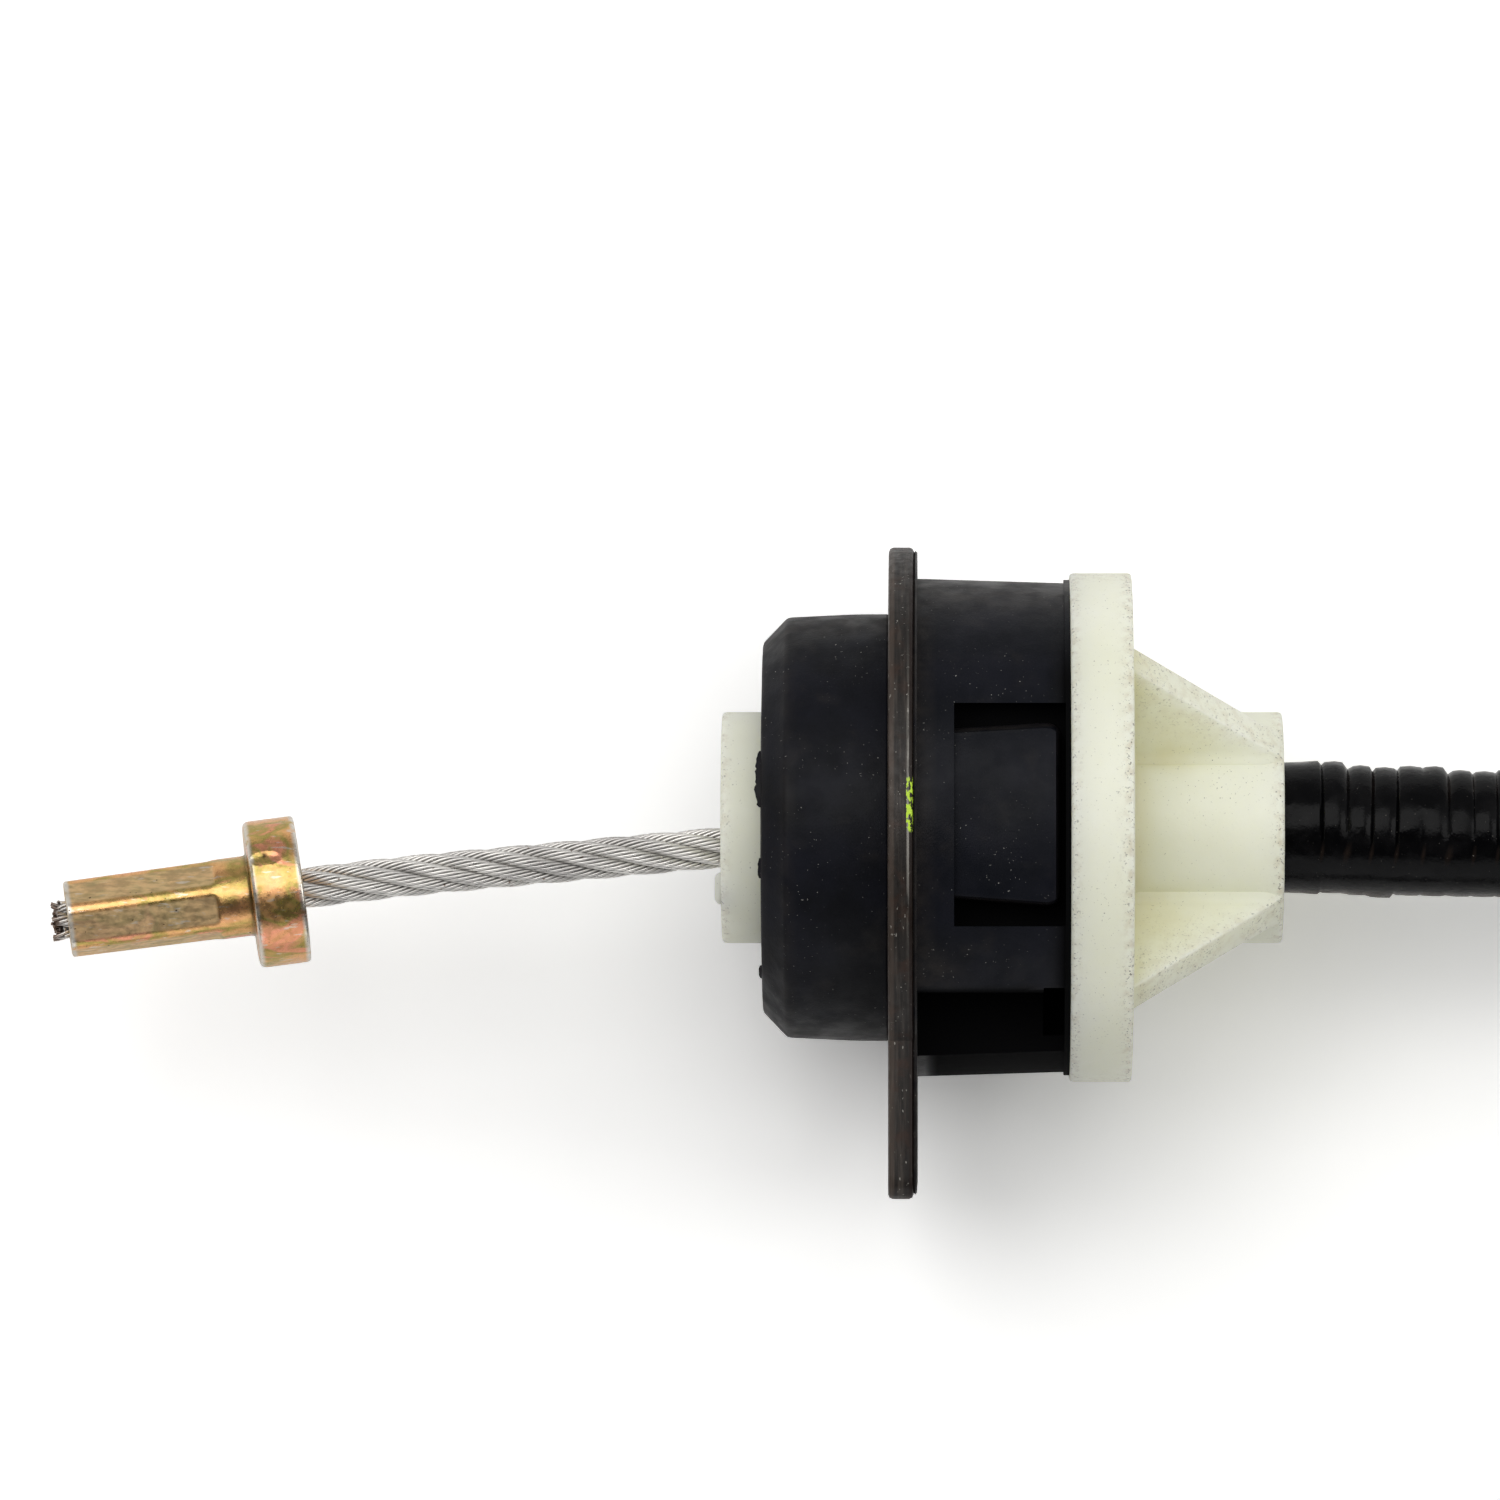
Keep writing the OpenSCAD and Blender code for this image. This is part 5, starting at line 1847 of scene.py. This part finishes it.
@dataclass(frozen=True)
class MountingPlate:
    """Round sheet-steel plate with an ear and two bolt holes."""

    radius: float = 25.2
    thick: float = 2.25
    soft: float = 0.4
    ear_half: float = 16.8
    ear_reach: float = 32.9
    ear_corner: float = 2.2
    bore_r: float = 13.95
    hole_r: float = 3.3
    hole_y: float = -27.2
    hole_z: float = 11.0

    def outline(self) -> Profile:
        """The plate's outline in Y and Z.

        Returns:
            The outline.
        """
        r = self.radius
        join = math.acos(-math.sqrt(r**2 - self.ear_half**2) / r)
        arc = [(r * math.cos(a), r * math.sin(a), 0.0) for a in np.linspace(-join, join, 120)]
        ear = [(-self.ear_reach, side * self.ear_half, self.ear_corner) for side in (1, -1)]
        return dense(rounded([*arc, *ear], wrap=True, steps=9), 1.0, wrap=True)

    def drills(self, span: Pair, bore_r: float, sides: int) -> list[Shell]:
        """Cutters for the middle hole and the two bolt holes."""
        bolts = [drill(span, self.hole_r, (self.hole_y, side * self.hole_z), sides) for side in (1, -1)]
        return [drill(span, bore_r, (0.0, 0.0), sides), *bolts]

    def build(self) -> Piece:
        """Builds the plate.

        Returns:
            The piece.
        """
        soft, thick = self.soft, self.thick
        front = [(0, soft), (0.3 * soft, 0.3 * soft), (soft, 0)]
        back = [(thick - x, inset) for x, inset in reversed(front)]
        solid = Shell().plate(self.outline(), [*front, (thick / 2, 0), *back])
        shell = solid.carved(self.drills((-1, thick + 1), self.bore_r, 96))

        def brightened(points: Points) -> Points:
            """Painted highlight along the back edge, strongest over the middle.

            Args:
                points: The shell's points.

            Returns:
                The mask.
            """
            x, y, _ = points.T
            outer = off_axis(points) > self.radius - 0.7
            return outer * ease(x, thick - 0.6, thick - 0.2) * bell(y, 2.0, 8.5) * 1.4

        def paint(points: Points) -> Points:
            """A dab of marker paint on the edge.

            Args:
                points: The shell's points.

            Returns:
                The mask.
            """
            x, y, z = points.T
            outer = off_axis(points) > self.radius - 0.7
            return outer * (z > 0) * bell(y, 2.2, 2.4, power=4) * ease(x, 0.9, 1.7)

        shell.paint("edge", brightened).paint("paint", paint)
        return place(shell, "mounting_plate_sheet", PLATE_STEEL, Body.CASING, ("mounting_plate",))


@dataclass(frozen=True)
class RearIsolator:
    """Rubber block behind the plate, with a pocket and a step moulded into each side."""

    skin_r: float = 24.9
    skin_x: float = 2.25
    body_x: float = 2.55
    body_r: float = 22.4
    back_x: float = 16.2
    end_r: float = 22.0
    lip_x: float = 15.7
    lip_r: float = 22.3
    bore_r: float = 10.45
    pocket: tuple[float, float, float, float] = (5.85, 15.75, -8.6, 11.15)
    pocket_z: float = 16.4
    pad_x: Pair = (5.75, 15.38)
    pad_low: Pair = (-6.35, -7.1)
    pad_high: Pair = (8.97, 9.54)
    pad_r: float = 21.5
    step_y: float = -14.5
    step_z: float = 9.5
    slot_x: float = 13.8
    slot_y: float = -18.5
    slot_z: float = 5.5
    plate: MountingPlate = MountingPlate()

    def body(self) -> Shell:
        """The turned block with its pockets, steps and slots cut.

        Returns:
            The shell.
        """
        outline = [
            (self.body_x - 0.05, self.bore_r), (self.body_x - 0.05, self.body_r), (self.lip_x, self.end_r),
            (self.lip_x, self.lip_r), (self.back_x, self.lip_r), (self.back_x, self.bore_r),
        ]
        solid = lathe(outline, 2.2, 160)
        x0, x1, y0, y1 = self.pocket
        cutters = []
        for side in (1, -1):
            spans = [
                ((x0, y0), (x1, y1), self.pocket_z),
                ((self.body_x + 0.06, -40), (self.lip_x, self.step_y), self.step_z),
                ((self.slot_x, self.slot_y), (self.lip_x + 0.01, self.step_y + 0.4), self.slot_z),
            ]
            for (ax, ay), (bx, by), z in spans:
                low, high = sorted((side * z, side * 40.0))
                cutters.append(box((ax, ay, low), (bx, by, high)))
        return solid.carved(cutters, edge=0.35)

    def cushion(self, side: int) -> Shell:
        """The pad in the pocket, pillowed, with a rounded far end.

        Args:
            side: 1 on the +Z side, -1 on the other.

        Returns:
            The shell.
        """
        x0, x1 = self.pad_x
        rows, columns = 34, 44
        # Rows and columns lie closer together near the edges, which are rounded.
        u, v = (np.sin(np.linspace(-1, 1, count) * math.pi / 2) for count in (rows, columns))
        x = (x0 + x1) / 2 + (x1 - x0) / 2 * u[:, None] + 0 * v[None, :]
        soft = 1.5
        corner = soft * (1 - np.sqrt(1 - np.clip((x - x1 + soft) / soft, 0, 1) ** 2))
        y0 = np.interp(x, self.pad_x, self.pad_low) + corner
        y1 = np.interp(x, self.pad_x, self.pad_high) - corner
        y = (y0 + y1) / 2 + (y1 - y0) / 2 * v[None, :]
        crown = np.sqrt(np.clip(self.pad_r**2 - y**2, 1, None))
        edges = [ease(x1 - x, -0.02, 0.5), ease(y - y0, -0.02, 0.5), ease(y1 - y, -0.02, 0.5)]
        fall = np.sqrt(edges[0] * edges[1] * edges[2])
        sag = 0.3 * bell(u[:, None], -0.15, 0.5) * bell(v[None, :], 0.05, 0.55)
        top = self.pocket_z - 0.4 + (crown - self.pocket_z + 0.4) * fall - sag
        rings = []
        for i in range(rows):
            ring = [[x[i, j], y[i, j], top[i, j]] for j in range(columns)]
            ring += [[x[i, -1], y[i, -1], self.pocket_z - 1], [x[i, 0], y[i, 0], self.pocket_z - 1]]
            rings.append(ring)
        shell = Shell().loft(np.array(rings))
        return shell if side > 0 else shell.move(Matrix.Rotation(math.pi, 4, "Y") @ shift(-(x0 + x1), 0, 0))

    def skin(self) -> Shell:
        """Thin brown flash behind the plate, with the plate's holes.

        Returns:
            The shell.
        """
        share = self.skin_r / self.plate.radius
        drawn = [(y * share, z * share) for y, z in self.plate.outline()]
        middle = self.skin_x + (self.body_x - self.skin_x) / 2
        solid = Shell().plate(drawn, [(self.skin_x + 0.01, 0.15), (middle, 0.0), (self.body_x, 0.15)])
        return solid.carved(self.plate.drills((0, 5), self.bore_r, 72))

    def build(self) -> Piece:
        """Builds the block.

        Returns:
            The piece.
        """
        shell = self.body()
        for side in (1, -1):
            shell.join(self.cushion(side))
        shell.join(self.skin())

        def edge(points: Points) -> Points:
            """Lip, skin and a brown spot, with painted sheen on the upper side and painted highlights along
            the pad's edges, where the rubber is greyer.

            Args:
                points: The shell's points.

            Returns:
                The mask.
            """
            x, y, _ = points.T
            # The radius as it would be without the draft.
            drafted = np.interp(x, [self.body_x, self.lip_x], [self.body_r, self.end_r])
            r = off_axis(points) + self.body_r - drafted
            # Painted sheen on the upper side.
            flank_sheen = ease(y / r, 0.8, 0.97) * (r > self.body_r - 0.5)
            skin = (x < self.body_x) * 1.0
            tinge = bell(x, 4.8, 1.4) * bell(y, -12.6, 1.5) * (r > self.body_r - 1)
            start, end = self.pad_x
            inside = (x > start) * (x < end) * (r < self.body_r - 0.5) * (r > self.pocket_z)
            low, high = (np.interp(x, self.pad_x, side) for side in (self.pad_low, self.pad_high))
            # Painted highlights along the pad's edges.
            rim = inside * bell(np.min([end - x, y - low, high - y], axis=0), 0.25, 0.2)
            return np.max([flank_sheen, skin, tinge, rim], axis=0)

        def nook(points: Points) -> Points:
            """Painted shade: the pockets' floors, the steps, the slots and the gap at the lip stay black.

            Args:
                points: The shell's points.

            Returns:
                The mask.
            """
            x, y, z = points.T
            r = off_axis(points)
            step = (y < self.step_y + 0.3) * (r > self.bore_r + 1)
            floor = (np.abs(z) < self.pocket_z + 0.3) * (r < self.end_r - 0.6)
            lip = ease(x, self.lip_x - 0.3, self.lip_x) * (1 - ease(np.abs(y), 13, 20))
            return np.max([step, floor, lip], axis=0) * (x > self.body_x + 0.02)

        shell.paint("edge", edge).paint("nook", nook)
        return place(shell, "rear_isolator_block", REAR_RUBBER, Body.CASING, ("rear_isolator",))


# ---- Fork end -------------------------------------------------------------------------------


@dataclass(frozen=True)
class ForkEnd:
    """Everything at the fork end, drawn along its own X, which runs to -X of the frame."""

    at: Triple = (40.0, -144.0, -13.2)
    # The ferrule: the casing's seat in it, its crimped sleeve, its shoulder (end, radius) and nose.
    seat_r: float = 5.95
    ferrule_r: float = 7.3
    grip: float = 20.0
    crimps: Pair = (-15.0, -7.0)
    shoulder: Pair = (2.0, 9.0)
    nose_r: float = 6.0
    nose_end: float = 21.5
    nose_bore_r: float = 2.5
    # The grommet, whose flange has an end and a radius.
    grommet_start: float = 2.05
    grommet_end: float = 16.5
    flange: Pair = (4.5, 12.0)
    spigot_r: float = 10.5
    # The boot: its cuff, the radii of its crests and valleys, and its mouth.
    cuff_r: float = 7.2
    fold: float = 1.9
    crests: tuple[float, ...] = (8.31, 5.74, 7.34, 4.83, 6.36, 3.91, 5.39)
    boot_wall: float = 1.1
    mouth: tuple[Triple, ...] = ((36.7, 3.0, 0.6), (41.7, 3.0, 0.4))
    # The rope's first end is hidden in the boot.
    rope_span: Pair = (31.0, 97.0)
    # The stud: shank with flats, hole for the rope (depth, radius) and thread.
    shank: Pair = (81.7, 99.7)
    shank_r: float = 4.6
    flat_span: Pair = (83.5, 95.2)
    rope_bore: Pair = (14.0, 1.76)
    stud_end: float = 137.7
    thread_r: float = 3.95
    thread_depth: float = 0.62
    pitch: float = 1.25
    # The washer, whose rim has a start, an end and a radius, and the nuts.
    ball_x: float = 116.74
    ball_r: float = 9.975
    washer_bore_r: float = 4.11
    washer_rim: Triple = (113.7, 115.68, 9.5)
    nut_flats: float = 12.96
    nut_bore_r: float = 4.03
    nut_corner_r: float = 7.48
    nut_bevel: float = 0.5775

    def frame(self) -> Matrix:
        """From the fork end's own frame to the row frame."""
        return shift(*self.at) @ Matrix.Rotation(math.pi, 4, "Z")

    def turned_piece(
        self, outline: Profile, name: str, finish: Finish, body: Body, node: str, sides: int = 96,
        step: float = 0.8, shape: Shape | None = None, crease: float = 38.0, nook: Rule | None = None,
    ) -> Piece:
        """Turns a closed outline and places it at the fork end.

        Args:
            outline: Closed outline, as station and radius.
            name: The piece's name.
            finish: Its finish.
            body: Its body.
            node: The CAD node that it stands for.
            sides: Points in a ring.
            step: Longest distance between rings.
            shape: Gives a ring's radii where it isn't round.
            crease: Edges sharper than this are shaded sharp.
            nook: Gives the mask nook.

        Returns:
            The piece.
        """
        shell = lathe(outline, step, sides, shape)
        if nook:
            shell.paint("nook", nook)
        return place(shell.move(self.frame()), name, finish, body, (node,), crease)

    def ferrule(self) -> Piece:
        """Zinc-plated ferrule crimped on the casing.

        Returns:
            The piece.
        """
        dip = ((-1.25, 0), (-0.75, 0.5), (0.75, 0.5), (1.25, 0))
        grooves = [(x + dx, self.ferrule_r - depth, 0.3) for x in self.crimps for dx, depth in dip]
        step_x, step_r = self.shoulder
        outline = rounded(
            [
                (-self.grip, self.seat_r, 0.2), (-self.grip, self.ferrule_r, 0.35), *grooves,
                (0, self.ferrule_r, 0.3), (0, step_r, 0.25),
                (step_x, step_r, 0.25), (step_x, self.nose_r, 0.3),
                (self.nose_end, self.nose_r, 0.35), (self.nose_end, self.nose_bore_r, 0.3),
                (0, self.nose_bore_r, 0), (0, self.seat_r, 0),
            ],
            wrap=True,
        )

        def nook(points: Points) -> Points:
            """Painted shade in the two crimped grooves."""
            return 0.8 * np.max([bell(points[:, 0], x, 0.6) for x in self.crimps], axis=0)

        return self.turned_piece(
            outline, "casing_ferrule_turned", WHITE_ZINC, Body.CASING, "casing_ferrule", nook=nook
        )

    def grommet(self) -> Piece:
        """Rubber grommet that seats in the bracket.

        Returns:
            The piece.
        """
        start, end, (rim_x, rim_r) = self.grommet_start, self.grommet_end, self.flange
        outline = rounded(
            [
                (start, self.nose_r, 0.2), (start, rim_r, 0.6), (rim_x, rim_r, 0.6),
                (rim_x, self.spigot_r, 0.4), (end, self.spigot_r, 1.1), (end, self.nose_r, 0.3),
            ],
            wrap=True,
        )
        return self.turned_piece(
            outline, "bracket_grommet_moulded", GROMMET_RUBBER, Body.CASING, "bracket_grommet"
        )

    def boot(self) -> Piece:
        """Bellows over the ferrule's nose.

        Returns:
            The piece.
        """
        start, end, bore = self.grommet_end + 0.05, self.nose_end, self.nose_r + 0.05
        folds = [(end + self.fold * (i + 1), r, 0.75) for i, r in enumerate(self.crests)]
        outer = [(start, self.cuff_r, 0.3), (end, self.cuff_r, 0.7), *folds, *self.mouth]
        inner = [(x, max(1.9, r - self.boot_wall), reach) for x, r, reach in outer[::-1]]
        inner[-2:] = [(end, bore, 0.2), (start, bore, 0)]
        outline = rounded([*outer, *inner], wrap=True)
        return self.turned_piece(
            outline, "dust_boot_moulded", BOOT_RUBBER, Body.CASING, "dust_boot", step=0.6, crease=60
        )

    def rope(self) -> Piece:
        """Rope between the ferrule and the stud.

        Returns:
            The piece.
        """
        step = 0.6
        line = np.array([[x, 0.0, 0.0] for x in np.arange(*self.rope_span, step)])
        shell = WireRope().bundle(line, step, UP).move(self.frame())
        return place(shell, "fork_rope_strands", ROPE_WIRE, Body.FORK_WIRE, ("fork_rope",), crease=75)

    def stud(self) -> Piece:
        """Crimped and threaded stud.

        Returns:
            The piece.
        """
        (start, thread_x), end, (flat_from, flat_to) = self.shank, self.stud_end, self.flat_span
        shank_r, thread_r, (bore_depth, bore_r) = self.shank_r, self.thread_r, self.rope_bore

        def shape(x: float, radius: float, angles: Points) -> Points:
            """Six flats on the shank and a helical thread on the rest.

            Args:
                x: The ring's station.
                radius: Its radius in the outline.
                angles: Its points' angles.

            Returns:
                The ring's radii.
            """
            plain = np.full(len(angles), radius)
            if radius < (2 if x < thread_x else thread_r - 0.7):
                return plain
            if x < thread_x:
                share = float(ease(x, flat_from, flat_from + 0.8) * (1 - ease(x, flat_to - 0.8, flat_to)))
                flats = across_flats(angles, 2 * shank_r * math.cos(math.radians(20)))
                return np.minimum(plain, shank_r + (flats - shank_r) * share)
            phase = np.mod(x / self.pitch - angles / TAU, 1.0)
            tooth = np.clip(np.abs(phase * 2 - 1) * 1.35 - 0.175, 0, 1)
            ramp = float(ease(x, thread_x, thread_x + 0.8))
            return np.minimum(plain, thread_r - self.thread_depth * ramp * (1 - tooth))

        barrel = [(start, bore_r, 0), (start, shank_r, 0.65)]
        head = dense(rounded([*barrel, (thread_x - 0.4, shank_r, 0.3), (thread_x, thread_r, 0)]), 0.5)
        screw = [(float(x), thread_r) for x in np.arange(thread_x + 0.1, end - 1.0, self.pitch / 10)]
        tip = rounded([(end - 1.0, thread_r, 0), (end, thread_r - 0.75, 0.3), (end, 0.3, 0)])
        bore = [(start + bore_depth, 0.3), (start + bore_depth, bore_r)]
        shell = Shell().loft(turned(head + screw + tip + bore, 60, shape), wrap=True)
        # Painted shade in the thread's roots.
        root_shade = 1 - ease(off_axis(shell.points), thread_r - 0.6, thread_r - 0.15)
        shell.masks["nook"] = root_shade * (shell.points[:, 0] > thread_x) * 0.8
        shell.move(self.frame())
        return place(
            shell, "adjuster_stud_threaded", WHITE_ZINC, Body.FORK_WIRE, ("adjuster_stud",), crease=50
        )

    def washer(self) -> Piece:
        """Ball-faced washer that seats in the fork.

        Returns:
            The piece.
        """
        around = np.radians(np.linspace(164, 114.5, 14))
        ball = [(self.ball_x + self.ball_r * math.cos(a), self.ball_r * math.sin(a), 0.0) for a in around]
        (start, end, rim_r), bore = self.washer_rim, self.washer_bore_r
        rim = [(start, rim_r, 0.2), (end, rim_r, 0.3), (end, bore, 0.25)]
        outline = rounded([(ball[0][0], bore, 0.2), *ball, *rim], wrap=True)
        return self.turned_piece(
            outline, "pivot_washer_turned", WASHER_STEEL, Body.FORK_SEAT, "pivot_washer", step=0.6
        )

    def nut(self, node: str, x0: float, x1: float) -> Piece:
        """Hexagon nut with turned chamfers.

        Args:
            node: The CAD node that it stands for.
            x0, x1: Where it starts and ends.

        Returns:
            The piece.
        """
        bore, corner, bevel = self.nut_bore_r, self.nut_corner_r, self.nut_bevel

        def shape(x: float, radius: float, angles: Points) -> Points:
            """The hexagon inside the turned chamfer."""
            plain = np.full(len(angles), radius)
            return plain if radius < 5.2 else np.minimum(plain, across_flats(angles, self.nut_flats))

        outline = [
            (x0 + 0.5, bore), (x0, bore + 0.5), (x0, 6.2), (x0 + 0.02, 6.35), (x0 + bevel, corner),
            (x1 - bevel, corner), (x1 - 0.02, 6.35), (x1, 6.2), (x1, bore + 0.5), (x1 - 0.5, bore),
        ]
        return self.turned_piece(
            dense(outline, 0.3, wrap=True), f"{node}_hex", YELLOW_ZINC, Body.ADJUSTER, node,
            sides=120, step=0.6, shape=shape, crease=30,
        )

    def build(self) -> list[Piece]:
        """Builds every piece of the fork end.

        Returns:
            The pieces.
        """
        return [
            self.ferrule(), self.grommet(), self.boot(), self.rope(), self.stud(), self.washer(),
            self.nut("adjuster_nut", 115.75, 123.65), self.nut("lock_nut", 123.75, 128.7),
        ]


# ---- Main -----------------------------------------------------------------------------------


def dress_carried(nodes: dict[str, Finish]) -> None:
    """Gives CAD nodes that show as they are their finished materials.

    Args:
        nodes: The finish of each node.
    """
    for node, finish in nodes.items():
        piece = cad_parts[node]
        piece.data.materials.clear()
        piece.data.materials.append(finish.material())


def main() -> None:
    """Builds every piece of the cable in order."""
    logging.basicConfig(level=logging.INFO, format="%(name)s: %(message)s")
    Studio().build()
    LOG.info("studio is ready")
    casing = Casing()
    jacket = casing.build()
    ties = [CoilTie(f"coil_tie_{i}", angle).build() for i, angle in ((1, 180.0), (2, -60.0), (3, 60.0))]
    far_end = ForkEnd().build()
    casing.declare()
    pedal_end = (
        PedalRope, PedalTerminal, EndHousing, GuideBush, FrontIsolator, MountingPlate, RearIsolator,
    )
    for part in pedal_end:
        part().build()
    dress_carried({"liner": LINER_NYLON, "armour": ARMOUR_STEEL})


if __name__ == "__main__":
    main()
